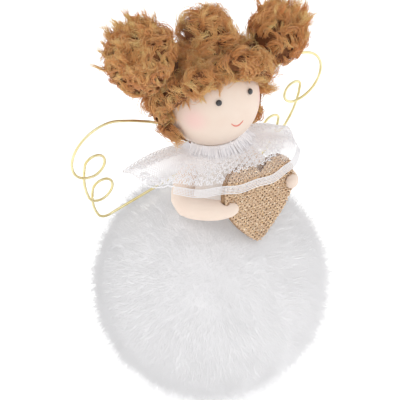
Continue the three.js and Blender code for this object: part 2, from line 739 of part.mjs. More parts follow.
const sleeveBore = wireRadius + FIT;
const sleeveRadius = sleeveBore + SLEEVE_WALL;
const wingRootY = TORSO_WAIST_RADIUS + FIT + PATCH_THICKNESS + SLEEVE_WALL / 2;

// Walks along the bends in the wing's plane: outward, backward and upward from the root's middle
function wingPoints() {
  const points = [];
  let heading = Math.PI / 2;
  let layer = 0;
  const spot = new THREE.Vector2(WING_HINGE_X, -WING_ROOT_LENGTH / 2);
  const note = () => points.push(new THREE.Vector3(spot.x, layer, spot.y));
  const forward = (length) => {
    spot.x += length * Math.cos(heading);
    spot.y += length * Math.sin(heading);
  };
  note();
  forward(WING_ROOT_LENGTH / 2);
  note();
  forward(WING_ROOT_LENGTH / 2);
  note();
  const climb = WING_LAYER_STEP / CURL.reduce((sum, bend) => sum + bend.angle, 0);
  WING_BENDS.forEach(({ radius, angle, climbs }) => {
    const steps = Math.max(2, Math.ceil(angle / BEND_STEP));
    const turn = degrees(angle) / steps;
    for (let i = 0; i < steps; i += 1) {
      heading -= turn / 2;
      forward(2 * radius * Math.sin(turn / 2));
      heading -= turn / 2;
      if (climbs) layer += (climb * angle) / steps;
      note();
    }
  });
  // The return runs straight to the root and comes back into the first layer
  const steps = 5;
  const top = layer;
  for (let i = 1; i <= steps; i += 1) {
    forward(WING_RETURN / steps);
    layer = top * (1 - i / steps);
    note();
  }
  return points;
}

// The least gap between stretches of the wire that are not neighbours along it
function selfGap(path) {
  const samples = path.getSpacedPoints(GAP_SAMPLES);
  const skip = Math.ceil((GAP_SAMPLES * 4 * WIRE_DIAMETER) / path.getLength());
  let least = Infinity;
  for (let i = 0; i < samples.length; i += 1) {
    for (let j = i + skip; j < samples.length; j += 1) {
      least = Math.min(least, samples[i].distanceTo(samples[j]));
    }
  }
  return least - WIRE_DIAMETER;
}

function wing(side) {
  const route = wingPoints().map((point) => new THREE.Vector3(side * point.x, point.y, point.z));
  const path = new THREE.CatmullRomCurve3(route, false, 'centripetal');
  const gap = selfGap(path);
  console.log(`least gap of the ${side < 0 ? 'left' : 'right'} wing wire to itself: ${gap.toFixed(2)} mm`);
  const section = new THREE.Shape();
  section.absarc(0, 0, wireRadius, 0, 2 * Math.PI);
  const geometry = new THREE.ExtrudeGeometry(section, { steps: 120, curveSegments: 3, extrudePath: path });
  return closed(geometry);
}

// Felt patch with a sewn sleeve for each wing's root, shaped to the torso's back
function wingPatch() {
  const depth = 2 * sleeveRadius + PATCH_THICKNESS;
  const plate = new THREE.BoxGeometry(PATCH_WIDTH, depth, PATCH_HEIGHT);
  plate.translate(0, -depth / 2, 0);
  const sleeves = [-1, 1].map((side) => {
    const sleeve = new THREE.CylinderGeometry(sleeveRadius, sleeveRadius, PATCH_HEIGHT, 16);
    sleeve.rotateX(Math.PI / 2);
    sleeve.translate(side * WING_HINGE_X, 0, 0);
    return sleeve;
  });
  const bores = [-1, 1].map((side) => {
    const bore = new THREE.CylinderGeometry(sleeveBore, sleeveBore, 2 * PATCH_HEIGHT, 12);
    bore.rotateX(Math.PI / 2);
    bore.translate(side * WING_HINGE_X, 0, 0);
    return bore;
  });
  const body = torso(FIT);
  body.translate(0, -wingRootY, -waistZ);
  body.rotateX(-degrees(WING_RAKE));
  return carve(join(plate, ...sleeves), ...bores, body);
}

const back = new THREE.Group();
back.position.set(0, wingRootY, waistZ);
back.rotation.x = degrees(WING_RAKE);
parts.add(back);

addPart('wing_patch', wingPatch(), felt, back);
addPart('wing_left', wing(-1), goldWire, back);
addPart('wing_right', wing(1), goldWire, back);

export default parts;
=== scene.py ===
"""Looks of the fairy ornament: fur, yarn hair, knit skin, lace, glitter weave and gold wire."""

import math

import bmesh
import bpy
import numpy as np
from mathutils import Matrix, Vector
from mathutils.bvhtree import BVHTree
from mathutils.kdtree import KDTree


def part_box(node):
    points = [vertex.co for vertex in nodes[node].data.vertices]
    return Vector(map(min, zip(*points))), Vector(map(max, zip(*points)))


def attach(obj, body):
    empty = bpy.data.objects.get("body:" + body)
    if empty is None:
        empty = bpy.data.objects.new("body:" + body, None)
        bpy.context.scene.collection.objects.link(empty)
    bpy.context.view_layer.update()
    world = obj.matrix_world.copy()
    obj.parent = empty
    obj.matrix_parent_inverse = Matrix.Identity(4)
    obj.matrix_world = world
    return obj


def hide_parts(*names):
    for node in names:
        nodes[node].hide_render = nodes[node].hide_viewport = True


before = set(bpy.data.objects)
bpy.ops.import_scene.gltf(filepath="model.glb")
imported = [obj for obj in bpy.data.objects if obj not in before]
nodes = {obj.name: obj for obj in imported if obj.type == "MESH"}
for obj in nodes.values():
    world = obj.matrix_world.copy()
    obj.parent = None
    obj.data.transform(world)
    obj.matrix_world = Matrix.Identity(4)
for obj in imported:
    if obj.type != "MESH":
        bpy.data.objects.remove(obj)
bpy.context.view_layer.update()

# Sizes shared with the construction, in metres and degrees
MM = 0.001
FIT = 0.3 * MM
BALL_RADIUS = 37.5 * MM
BALL_CENTRE = np.array([0, 0, 40 * MM])
HEAD_RADIUS = 16 * MM
HEAD_CENTRE = np.array([0, 0, 114.9 * MM])
TORSO_TOP = 96.5 * MM
NAPE_TILT = 31
HAIRLINE_RISE = 0.4 * MM

SIDES = ("left", "right")
HAIR_NODES = [
    "hair_cap", "hair_crown", "hair_bun_left", "hair_bun_right",
    "hair_fringe_left", "hair_fringe_right", "hair_lock_left", "hair_lock_right",
]


# Small helpers

def srgb(red, green, blue):
    """A linear colour from the 0 to 255 values of a screen."""
    def linear(value):
        share = value / 255
        return share / 12.92 if share <= 0.04045 else ((share + 0.055) / 1.055) ** 2.4
    return (linear(red), linear(green), linear(blue), 1.0)


def unit(vectors):
    """Vectors along the last axis, brought to length one."""
    return vectors / np.maximum(np.linalg.norm(vectors, axis=-1, keepdims=True), 1e-12)


def mix(first, second, share):
    return first + (second - first) * share


def smoothstep(value, low, high):
    share = np.clip((value - low) / (high - low), 0, 1)
    return share * share * (3 - 2 * share)


def on_head(azimuth, latitude, distance):
    """A point by its angle from the face's middle, its angle above the level and its distance out."""
    a, b = np.radians(azimuth), np.radians(latitude)
    outward = np.stack([np.sin(a) * np.cos(b), -np.cos(a) * np.cos(b), np.sin(b)], axis=-1)
    return HEAD_CENTRE + np.asarray(distance)[..., None] * outward


def point_finder(places):
    """A search tree over points."""
    finder = KDTree(len(places))
    for index, place in enumerate(places):
        finder.insert(place, index)
    finder.balance()
    return finder


# Materials

def new_material(name, **sockets):
    """A node material whose even values are set on the shader's own sockets."""
    material = bpy.data.materials.new(name)
    material.use_nodes = True
    tree = material.node_tree
    shader = tree.nodes["Principled BSDF"]
    for socket, value in sockets.items():
        shader.inputs[socket.replace("_", " ")].default_value = value
    return material, tree, shader


def painted_glow(strength, colour=(1, 1, 1, 1)):
    """Painted light: a faint glow of its own, standing in for light that passes through fine white fibres;
    the floor glows to stay evenly white.
    """
    return {"Emission_Color": colour, "Emission_Strength": strength}


def add_node(tree, kind, inputs, **settings):
    """A node with its settings; each input is a plain value or another node's output."""
    made = tree.nodes.new(kind)
    for name, value in settings.items():
        setattr(made, name, value)
    for socket, value in inputs.items():
        if isinstance(value, bpy.types.NodeSocket):
            tree.links.new(value, made.inputs[socket])
        else:
            made.inputs[socket].default_value = value
    return made


def coordinates(tree, stretch=(1, 1, 1)):
    """The piece's own coordinates, in metres, with a factor along each axis."""
    place = add_node(tree, "ShaderNodeTexCoord", {}).outputs["Object"]
    return add_node(tree, "ShaderNodeMapping", {"Vector": place, "Scale": stretch}).outputs["Vector"]


def noise(tree, size, detail=2.0, stretch=(1, 1, 1)):
    """Noise whose blots are about that size, in metres."""
    inputs = {"Vector": coordinates(tree, stretch), "Scale": 1 / size, "Detail": detail}
    return add_node(tree, "ShaderNodeTexNoise", inputs).outputs["Fac"]


def threads(tree, pitch, direction):
    """Parallel ridges of one pitch along an axis."""
    inputs = {"Vector": coordinates(tree), "Scale": 0.314 / pitch, "Distortion": 0.6, "Detail": 1.0}
    made = add_node(tree, "ShaderNodeTexWave", inputs, wave_type="BANDS", bands_direction=direction)
    return made.outputs["Fac"]


def attribute(tree, name):
    return add_node(tree, "ShaderNodeAttribute", {}, attribute_name=name).outputs["Fac"]


def calculate(tree, operation, first, second):
    return add_node(tree, "ShaderNodeMath", {0: first, 1: second}, operation=operation).outputs["Value"]


def colours(tree, factor, *stops):
    """A colour ramp over a factor, from (place, colour) stops."""
    made = add_node(tree, "ShaderNodeValToRGB", {"Fac": factor})
    ramp = made.color_ramp
    while len(ramp.elements) < len(stops):
        ramp.elements.new(0.5)
    for element, (place, colour) in zip(ramp.elements, stops):
        element.position = place
        element.color = colour
    return made.outputs["Color"]


def blend(tree, factor, first, second):
    """A colour that goes from the first to the second with the factor."""
    colour_a, colour_b, result = 6, 7, 2
    inputs = {"Factor": factor, colour_a: first, colour_b: second}
    return add_node(tree, "ShaderNodeMix", inputs, data_type="RGBA").outputs[result]


def paint(tree, shader, colour):
    tree.links.new(colour, shader.inputs["Base Color"])


def bump(tree, shader, height, depth, strength):
    made = add_node(tree, "ShaderNodeBump", {"Strength": strength, "Distance": depth, "Height": height})
    tree.links.new(made.outputs["Normal"], shader.inputs["Normal"])


def fibre_material(name, root, dark, light, **sockets):
    """Fibres: each one between a dark and a light tone, and darker towards its root as painted shade deep in
    the pile.
    """
    material, tree, shader = new_material(name, **sockets)
    tone = colours(tree, attribute(tree, "shade"), (0, dark), (1, light))
    along = {"Value": attribute(tree, "along")}
    rise = add_node(tree, "ShaderNodeMapRange", along, interpolation_type="SMOOTHSTEP")
    paint(tree, shader, blend(tree, rise.outputs["Result"], root, tone))
    return material


def cloth_material(name, dark, light, pitch, depth, **sockets):
    """Woven or knitted cloth: crossing ridges of one pitch, with soft blots of colour."""
    material, tree, shader = new_material(name, **sockets)
    tone = colours(tree, noise(tree, 7 * MM, detail=3.0), (0.3, dark), (0.7, light))
    paint(tree, shader, tone)
    weave = calculate(tree, "MULTIPLY", threads(tree, pitch, "X"), threads(tree, pitch, "Z"))
    bump(tree, shader, weave, depth, strength=0.6)
    return material, tree, shader, tone


def fuzz_material(name, dark, light, size, **sockets):
    """Felt, wadding or fur backing: a fine fibrous noise in colour and height."""
    material, tree, shader = new_material(name, **sockets)
    fibres = noise(tree, size, detail=6.0, stretch=(1, 1, 0.4))
    paint(tree, shader, colours(tree, fibres, (0.3, dark), (0.7, light)))
    bump(tree, shader, fibres, 0.3 * size, strength=0.5)
    return material


def spotted_material(name, dark, light, size, depth=0.0, **sockets):
    """A smooth finish with soft spots of two shades."""
    material, tree, shader = new_material(name, **sockets)
    spots = noise(tree, size, detail=3.0)
    paint(tree, shader, colours(tree, spots, (0.35, dark), (0.65, light)))
    if depth:
        bump(tree, shader, spots, depth, strength=0.5)
    return material


BLUSH_CENTRES = [tuple(on_head(side * 54.6, 1.5, HEAD_RADIUS)) for side in (-1, 1)]
BLUSH_REACH = 7 * MM
BLUSH_SHARE = 0.9


def skin_material():
    """Fine knit over stuffing, with a soft blush on both cheeks."""
    material, tree, shader, plain = cloth_material(
        "skin_knit", srgb(238, 217, 201), srgb(241, 223, 208), 0.34 * MM, 0.03 * MM,
        Roughness=0.85, Sheen_Weight=0.15, Sheen_Roughness=0.6,
    )
    place = add_node(tree, "ShaderNodeTexCoord", {}).outputs["Object"]
    shares = []
    for centre in BLUSH_CENTRES:
        gap = add_node(tree, "ShaderNodeVectorMath", {0: place, 1: centre}, operation="DISTANCE")
        fall = {
            "Value": gap.outputs["Value"], "From Min": BLUSH_REACH, "From Max": 0, "To Max": BLUSH_SHARE,
        }
        fade = add_node(tree, "ShaderNodeMapRange", fall, interpolation_type="SMOOTHERSTEP")
        shares.append(fade.outputs["Result"])
    paint(tree, shader, blend(tree, calculate(tree, "ADD", *shares), plain, srgb(242, 204, 195)))
    return material


def glitter_material():
    """Gold lurex thread: tan to gold with dark flecks, and the lightest flecks near white as painted glints.
    """
    material, tree, shader = new_material("glitter_weave", Roughness=0.42, Specular_IOR_Level=0.6)
    size = 0.42 * MM
    fleck = add_node(tree, "ShaderNodeTexVoronoi", {"Vector": coordinates(tree), "Scale": 1 / size})
    # The lightest flecks, near white, are painted glints; the others are the thread's own tones
    tone = colours(
        tree, fleck.outputs["Color"],
        (0.0, srgb(134, 98, 74)), (0.32, srgb(206, 170, 136)), (0.62, srgb(232, 202, 168)),
        (0.86, srgb(252, 230, 202)), (1.0, srgb(255, 250, 240)),
    )
    paint(tree, shader, blend(tree, noise(tree, 3 * MM), tone, srgb(216, 184, 152)))
    shine = calculate(tree, "GREATER_THAN", fleck.outputs["Color"], 0.6)
    tree.links.new(calculate(tree, "MULTIPLY", shine, 0.75), shader.inputs["Metallic"])
    bump(tree, shader, fleck.outputs["Distance"], 0.12 * MM, strength=0.8)
    return material


def wire_material():
    """Drawn gold-plated wire: fine lines along it and slight dulling in blots."""
    material, tree, shader = new_material("gold_wire", Metallic=1.0)
    tone = colours(tree, noise(tree, 4 * MM), (0.3, srgb(226, 210, 150)), (0.7, srgb(244, 234, 188)))
    paint(tree, shader, tone)
    blots = {"Value": noise(tree, 1.2 * MM, detail=4.0), "To Min": 0.2, "To Max": 0.42}
    dulling = add_node(tree, "ShaderNodeMapRange", blots)
    tree.links.new(dulling.outputs["Result"], shader.inputs["Roughness"])
    bump(tree, shader, noise(tree, 0.25 * MM, stretch=(1, 1, 0.1)), 0.02 * MM, strength=0.4)
    return material


# Painted shade and light: fibres darker towards their roots as painted shade, and a painted glow lifting the
# pile's shade
FUR = fibre_material(
    "white_fur", srgb(234, 233, 235), srgb(237, 236, 238), srgb(244, 243, 245),
    Roughness=0.9, Specular_IOR_Level=0.2, Sheen_Weight=0.3, Sheen_Roughness=0.5, **painted_glow(0.22),
)
# Painted light: a faint glow lifts the shade that falls on the backing under the arms and heart
FUR_CLOTH = fuzz_material(
    "fur_backing", srgb(244, 243, 245), srgb(251, 250, 251), 1.1 * MM, Roughness=0.95, **painted_glow(0.1),
)
FELT = fuzz_material("white_felt", srgb(228, 227, 228), srgb(240, 239, 240), 0.7 * MM, Roughness=0.95)
WADDING = fuzz_material("wadding", srgb(226, 224, 218), srgb(240, 238, 232), 1.6 * MM, Roughness=1.0)
# Painted light: a faint warm glow lifts the shade that the head and lace cast on the torso
COTTON = cloth_material(
    "white_cotton", srgb(249, 244, 240), srgb(253, 250, 247), 0.4 * MM, 0.05 * MM,
    Roughness=0.9, **painted_glow(0.1, (1, 0.95, 0.91, 1)),
)[0]
SKIN = skin_material()
# Painted shade: the yarn is darker towards each lock's root, where the locks shade one another
YARN = fibre_material(
    "hair_yarn", srgb(218, 148, 84), srgb(236, 160, 90), srgb(255, 226, 152),
    Roughness=0.62, Sheen_Weight=0.25, Sheen_Roughness=0.4,
)
# Painted shade: the hair's underlayer is dark brown so that the gaps between the locks read as shade
HAIR_SHADE_UNDERLAYER = fuzz_material("hair_under_shade", srgb(96, 58, 28), srgb(140, 88, 48), 0.9 * MM, Roughness=0.9)
ELASTIC = spotted_material(
    "tie_elastic", srgb(84, 52, 30), srgb(120, 78, 46), 0.5 * MM, 0.05 * MM, Roughness=0.7,
)
EYE = spotted_material(
    "eye_bead", srgb(50, 50, 52), srgb(70, 70, 72), 0.8 * MM, Roughness=0.3, Coat_Weight=0.3,
)
MOUTH = spotted_material("mouth_thread", srgb(226, 128, 112), srgb(238, 152, 136), 0.6 * MM, Roughness=0.7)
CARD = fuzz_material("heart_card", srgb(150, 116, 86), srgb(186, 150, 114), 0.8 * MM, Roughness=0.9)
# Painted shade: the heart cloth's ground is dark brown so that the gaps in the weave read as shade
HEART_SHADE_GROUND = fuzz_material("heart_shade_ground", srgb(96, 66, 48), srgb(128, 92, 68), 0.5 * MM, Roughness=0.8)
GLITTER = glitter_material()
FLAKE = spotted_material(
    "glitter_flake", srgb(250, 214, 160), srgb(255, 248, 236), 0.5 * MM, Roughness=0.12, Metallic=1.0,
)
LACE = spotted_material(
    "lace_thread", srgb(248, 247, 250), srgb(253, 252, 254), 0.6 * MM, 0.04 * MM,
    Roughness=0.6, Sheen_Weight=0.3, Sheen_Roughness=0.4,
)
# Painted light: a faint glow brightens the net's shade
TULLE = spotted_material(
    "tulle_net", srgb(242, 240, 243), srgb(248, 246, 248), 0.6 * MM, 0.03 * MM,
    Roughness=0.7, Sheen_Weight=0.2, Sheen_Roughness=0.4, **painted_glow(0.08),
)
WOOD = spotted_material(
    "dowel_wood", srgb(198, 164, 116), srgb(222, 190, 144), 2 * MM, 0.05 * MM, Roughness=0.7,
)
GOLD = wire_material()


# Mesh building

BAKE_MARGIN = 0.02


def dress(piece, material, body="fairy", replaced=None):
    """Gives a piece its finish and the body that it rides on, and hides the node that it stands for."""
    piece.data.materials.clear()
    piece.data.materials.append(material)
    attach(piece, body)
    if replaced:
        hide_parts(replaced)
    return piece


def new_piece(name, mesh):
    piece = bpy.data.objects.new(name, mesh)
    bpy.context.scene.collection.objects.link(piece)
    return piece


def edited(mesh, change):
    """A mesh after a change that Blender's mesh operators make."""
    shape = bmesh.new()
    shape.from_mesh(mesh)
    change(shape)
    shape.to_mesh(mesh)
    shape.free()
    return mesh


def set_points(mesh, points):
    mesh.vertices.foreach_set("co", np.ascontiguousarray(points, np.float32).ravel())


def shade_smooth(mesh):
    mesh.polygons.foreach_set("use_smooth", np.ones(len(mesh.polygons), bool))


def surface_points(mesh):
    """A mesh's points and their normals."""
    points = np.empty(3 * len(mesh.vertices), np.float32)
    normals = np.empty_like(points)
    mesh.vertices.foreach_get("co", points)
    mesh.vertices.foreach_get("normal", normals)
    return points.reshape(-1, 3).astype(float), normals.reshape(-1, 3).astype(float)


def mesh_from_arrays(name, points, corners, sizes):
    """A mesh from points, the corners of all faces in one row and the number of corners of each face."""
    mesh = bpy.data.meshes.new(name)
    mesh.vertices.add(len(points))
    set_points(mesh, points)
    mesh.loops.add(len(corners))
    mesh.loops.foreach_set("vertex_index", np.ascontiguousarray(corners, np.int32))
    mesh.polygons.add(len(sizes))
    starts = np.concatenate([[0], np.cumsum(sizes)[:-1]]).astype(np.int32)
    mesh.polygons.foreach_set("loop_start", starts)
    mesh.update(calc_edges=True)
    mesh.validate()
    return mesh


def strand_piece(name, paths, radii, shade=0.5, sides=3):
    """Closed tapering tubes, one for each path of points; the last point is the tip."""
    count, steps = paths.shape[:2]
    radii = np.broadcast_to(radii, (count, steps))
    along = unit(np.gradient(paths, axis=1))
    side = unit(np.cross(along[:, 0], np.array([0.31, 0.87, -0.38])))
    turns = 2 * np.pi * np.arange(sides) / sides
    rings = np.empty((count, steps - 1, sides, 3))
    for step in range(steps - 1):
        ahead = along[:, step]
        side = unit(side - (side * ahead).sum(-1, keepdims=True) * ahead)
        across = np.cross(ahead, side)
        spokes = np.cos(turns)[:, None] * side[:, None] + np.sin(turns)[:, None] * across[:, None]
        rings[:, step] = paths[:, step, None] + radii[:, step, None, None] * spokes
    points = np.concatenate([rings.reshape(count, -1, 3), paths[:, -1:]], axis=1)
    each = points.shape[1]
    corners, sizes = strand_faces(steps, sides)
    corners = (corners[None] + each * np.arange(count)[:, None]).ravel()
    mesh = mesh_from_arrays(name, points.reshape(-1, 3), corners, np.tile(sizes, count))
    share = np.append(np.repeat(np.arange(steps - 1) / (steps - 1), sides), 1.0)
    values = {"shade": np.repeat(np.broadcast_to(shade, count), each), "along": np.tile(share, count)}
    for label, value in values.items():
        mesh.attributes.new(label, "FLOAT", "POINT").data.foreach_set("value", value.astype(np.float32))
    bake_map = mesh.uv_layers.new(name="OFBake")
    places = np.stack([values["shade"][corners], values["along"][corners]], axis=1)
    places = BAKE_MARGIN + (1 - 2 * BAKE_MARGIN) * places
    bake_map.data.foreach_set("uv", places.astype(np.float32).ravel())
    return new_piece(name, mesh)


def strand_faces(steps, sides):
    """The corners of one strand's faces in a row, and the number of corners of each face."""
    ring = np.arange(sides)
    following = (ring + 1) % sides
    rows = sides * np.arange(steps - 2)[:, None]
    walls = np.stack([ring + rows, following + rows, following + rows + sides, ring + rows + sides], axis=-1)
    last = sides * (steps - 2)
    tip = np.stack([ring + last, following + last, np.full(sides, last + sides)], axis=-1)
    corners = np.concatenate([walls.reshape(-1), tip.reshape(-1), ring[::-1]])
    sizes = np.concatenate([np.full(walls.size // 4, 4), np.full(sides, 3), [sides]])
    return corners, sizes


def joined_copy(node):
    """A copy of a solid's mesh with its corners joined."""
    def join(shape):
        bmesh.ops.remove_doubles(shape, verts=shape.verts, dist=1e-6)
    return edited(nodes[node].data.copy(), join)


def soft_copy(node, name, voxel, rounds, grow=0.0):
    """A rounded copy of a soft solid: remeshed evenly, smoothed and moved along its normals."""
    piece = new_piece(name, joined_copy(node))
    remesh = piece.modifiers.new("even", "REMESH")
    remesh.mode = "VOXEL"
    remesh.voxel_size = voxel
    smooth = piece.modifiers.new("soft", "SMOOTH")
    smooth.iterations = rounds
    shape = piece.evaluated_get(bpy.context.evaluated_depsgraph_get())
    mesh = bpy.data.meshes.new_from_object(shape)
    piece.modifiers.clear()
    piece.data = mesh
    if grow:
        points, normals = surface_points(mesh)
        set_points(mesh, points + grow * normals)
    shade_smooth(mesh)
    mesh.update()
    return piece


def sharp_copy(node, name, angle=35):
    """A copy of a rigid solid that is shaded smooth but for its edges."""
    mesh = joined_copy(node)
    shade_smooth(mesh)
    mesh.set_sharp_from_angle(angle=math.radians(angle))
    return new_piece(name, mesh)


def tree_of(*names):
    """One search tree over the meshes of several objects."""
    points, faces = [], []
    for name in names:
        mesh = bpy.data.objects[name].data
        start = len(points)
        points += [vertex.co.copy() for vertex in mesh.vertices]
        faces += [[start + corner for corner in face.vertices] for face in mesh.polygons]
    return BVHTree.FromPolygons(points, faces)


def depth_in(tree, point):
    """How deep a point lies below a closed surface; negative outside."""
    place, normal, _, gap = tree.find_nearest(Vector(point))
    return gap if normal.dot(place - Vector(point)) > 0 else -gap


# Fur ball

FUR_STRANDS = 78000
FUR_SECTORS = 6
FUR_ROOT_RADIUS = 37.3 * MM
FUR_ROOT_SCATTER = 0.003
FUR_LENGTH = 2.5 * MM
FUR_LENGTH_SPREAD = 0.3 * MM
FUR_SHORTEST_SHARE = 0.4
FUR_THICKNESS = 0.045 * MM
FUR_TAPER = np.array([1.0, 0.8, 0.0])
FUR_CLUMPS = 2600
FUR_CLUMP_SCATTER = 0.012
FUR_CLUMP_PULL = 0.42
FUR_CLUMP_SPREAD = 0.5 * MM
FUR_LONG_SHARE = 0.24
FUR_LONG_EXTRA = 2.5 * MM
FUR_SWIRL = 0.24
FUR_SWIRL_SIZE = 9 * MM
FUR_LEAN_SPREAD = 0.2
FUR_DROOP = 0.15
FUR_BLOT_SIZE = 5 * MM
FUR_BLOT_SHADE = 0.28
FUR_SHADE_SPREAD = 0.2
FUR_BASE_OPENING = 12.6 * MM
FUR_SKIRT = 2.2 * MM
FUR_SKIRT_TOP = 9 * MM
FUR_GROUND_GAP = 0.3 * MM
FUR_PRESS_GAP = 0.15 * MM
FUR_PRESS_SHARE = 0.55
FUR_PRESS_ROUNDS = 3
FUR_SHADING_RISE = 0.8


def even_directions(count):
    """Directions spread evenly over the sphere."""
    share = (np.arange(count) + 0.5) / count
    height = 1 - 2 * share
    turn = np.pi * (1 + 5 ** 0.5) * np.arange(count)
    level = np.sqrt(1 - height ** 2)
    return np.stack([level * np.cos(turn), level * np.sin(turn), height], axis=1)


def swirl_field(points, wavelength, seed, waves=7):
    """A smooth random direction at each point."""
    dice = np.random.default_rng(seed)
    field = np.zeros_like(points)
    for _ in range(waves):
        along = unit(dice.normal(size=3)) * 2 * np.pi / (wavelength * dice.uniform(0.7, 1.5))
        field += dice.normal(size=3) * np.sin(points @ along + dice.uniform(0, 2 * np.pi))[:, None]
    return field / math.sqrt(waves)


def nearest_clumps(points, dice):
    """The way from each point to the nearest of the clumps' middles, and that clump's extra length."""
    scatter = dice.normal(scale=FUR_CLUMP_SCATTER, size=(FUR_CLUMPS, 3))
    middles = BALL_CENTRE + BALL_RADIUS * unit(even_directions(FUR_CLUMPS) + scatter)
    finder = point_finder(middles)
    nearest = [finder.find(point)[1] for point in points]
    extra = dice.normal(scale=FUR_CLUMP_SPREAD, size=FUR_CLUMPS)
    return middles[nearest] - points, extra[nearest]


def fur_paths():
    """Root, middle and tip of every strand of the pile, with its shade."""
    dice = np.random.default_rng(11)
    scatter = dice.normal(scale=FUR_ROOT_SCATTER, size=(FUR_STRANDS, 3))
    outward = unit(even_directions(FUR_STRANDS) + scatter)
    roots = BALL_CENTRE + FUR_ROOT_RADIUS * outward
    open_below = (np.hypot(roots[:, 0], roots[:, 1]) < FUR_BASE_OPENING) & (outward[:, 2] < 0)
    outward, roots = outward[~open_below], roots[~open_below]
    to_clump, extra = nearest_clumps(BALL_CENTRE + BALL_RADIUS * outward, dice)
    pull = FUR_CLUMP_PULL * to_clump
    length = FUR_LENGTH + extra + dice.normal(scale=FUR_LENGTH_SPREAD, size=len(roots))
    length += FUR_LONG_EXTRA * (dice.uniform(size=len(roots)) < FUR_LONG_SHARE)
    length += FUR_SKIRT * smoothstep(roots[:, 2], FUR_SKIRT_TOP, 0)
    length = np.maximum(length, FUR_SHORTEST_SHARE * FUR_LENGTH)[:, None]
    lean = FUR_SWIRL * swirl_field(roots, FUR_SWIRL_SIZE, seed=3)
    lean = lean + dice.normal(scale=FUR_LEAN_SPREAD, size=roots.shape)
    lean[:, 2] -= FUR_DROOP
    lean -= (lean * outward).sum(1, keepdims=True) * outward
    middles = roots + 0.55 * length * outward + 0.2 * length * lean + 0.4 * pull
    tips = roots + length * unit(outward + 0.75 * lean) + pull
    tips[:, 2] = np.maximum(tips[:, 2], FUR_GROUND_GAP)
    blots = FUR_BLOT_SHADE * swirl_field(roots, FUR_BLOT_SIZE, seed=5)[:, 0]
    shade = np.clip(0.5 + blots + dice.normal(scale=FUR_SHADE_SPREAD, size=len(roots)), 0, 1)
    return np.stack([roots, middles, tips], axis=1), shade


def pressed(paths, reach):
    """Shortens the strands that would run into what rests on the ball."""
    resting = tree_of("torso", "arm_left", "arm_right", "heart_board", "heart_cloth", "base_disc")
    roots = paths[:, :1]
    for index in np.flatnonzero((paths[:, 2, 2] > reach) | (paths[:, 2, 2] < FUR_BASE_OPENING)):
        for _ in range(FUR_PRESS_ROUNDS):
            if all(depth_in(resting, point) < -FUR_PRESS_GAP for point in paths[index, 1:]):
                break
            paths[index] = roots[index] + FUR_PRESS_SHARE * (paths[index] - roots[index])
    return paths


def even_shading(mesh, centre):
    """Turns the shading of fine fibres out and up, because light that passes through them evens it out."""
    points, _ = surface_points(mesh)
    upward = np.array([0, 0, FUR_SHADING_RISE])
    mesh.normals_split_custom_set_from_vertices(unit(unit(points - centre) + upward))


def make_fur():
    backing = soft_copy("fur_cover", "fur_backing", 1.3 * MM, 4)
    dress(backing, FUR_CLOTH, replaced="fur_cover")
    paths, shade = fur_paths()
    paths = pressed(paths, BALL_CENTRE[2] + 0.5 * BALL_RADIUS)
    clear = clear_of_wires(paths)
    paths, shade = paths[clear], shade[clear]
    turn = np.arctan2(paths[:, 0, 1], paths[:, 0, 0])
    sector = np.floor(FUR_SECTORS * (turn + np.pi) / (2 * np.pi)).astype(int) % FUR_SECTORS
    for index in range(FUR_SECTORS):
        chosen = sector == index
        name = f"fur_pile_{index + 1}"
        piece = strand_piece(name, paths[chosen], FUR_THICKNESS * FUR_TAPER, shade[chosen])
        even_shading(piece.data, BALL_CENTRE)
        dress(piece, FUR)


# Torso, arms and head

MOUTH_POINTS = [(-9.9, -3.8), (-2.0, -9.6), (6.7, -4.7)]
MOUTH_THICKNESS = 0.26 * MM
MOUTH_STAND = 0.03 * MM


def make_body():
    torso = soft_copy("torso", "torso_cotton", 0.7 * MM, 5)
    dress(torso, COTTON, replaced="torso")
    for side in SIDES:
        arm = soft_copy(f"arm_{side}", f"arm_{side}_knit", 0.45 * MM, 10, grow=0.12 * MM)
        dress(arm, SKIN, replaced=f"arm_{side}")
    head = soft_copy("head", "head_knit", 0.8 * MM, 8)
    round_head(head.data)
    dress(head, SKIN, replaced="head")


def round_head(mesh):
    """Brings the head's outer skin to its true ball."""
    points, _ = surface_points(mesh)
    outward = points - HEAD_CENTRE
    distance = np.linalg.norm(outward, axis=1, keepdims=True)
    skin = distance[:, 0] > 0.9 * HEAD_RADIUS
    points[skin] = (HEAD_CENTRE + HEAD_RADIUS * outward / distance)[skin]
    set_points(mesh, points)
    mesh.update()


def make_face():
    for side in SIDES:
        eye = sharp_copy(f"eye_{side}", f"eye_{side}_bead", 60)
        dress(eye, EYE, replaced=f"eye_{side}")
    share = np.linspace(0, 1, 25)
    start, middle, end = np.array(MOUTH_POINTS)
    handle = 2 * middle - (start + end) / 2
    weights = np.stack([(1 - share) ** 2, 2 * share * (1 - share), share ** 2], axis=1)
    smile = weights @ np.array([start, handle, end])
    path = on_head(smile[:, 0], smile[:, 1], np.full(len(share), HEAD_RADIUS + MOUTH_STAND))
    radii = MOUTH_THICKNESS * (0.45 + 0.55 * np.sin(np.pi * share))
    mouth = strand_piece("mouth_stitch", path[None], radii, sides=8)
    dress(mouth, MOUTH)


# Yarn hair: the ranges of a lock's length, arch and lift are in millimetres

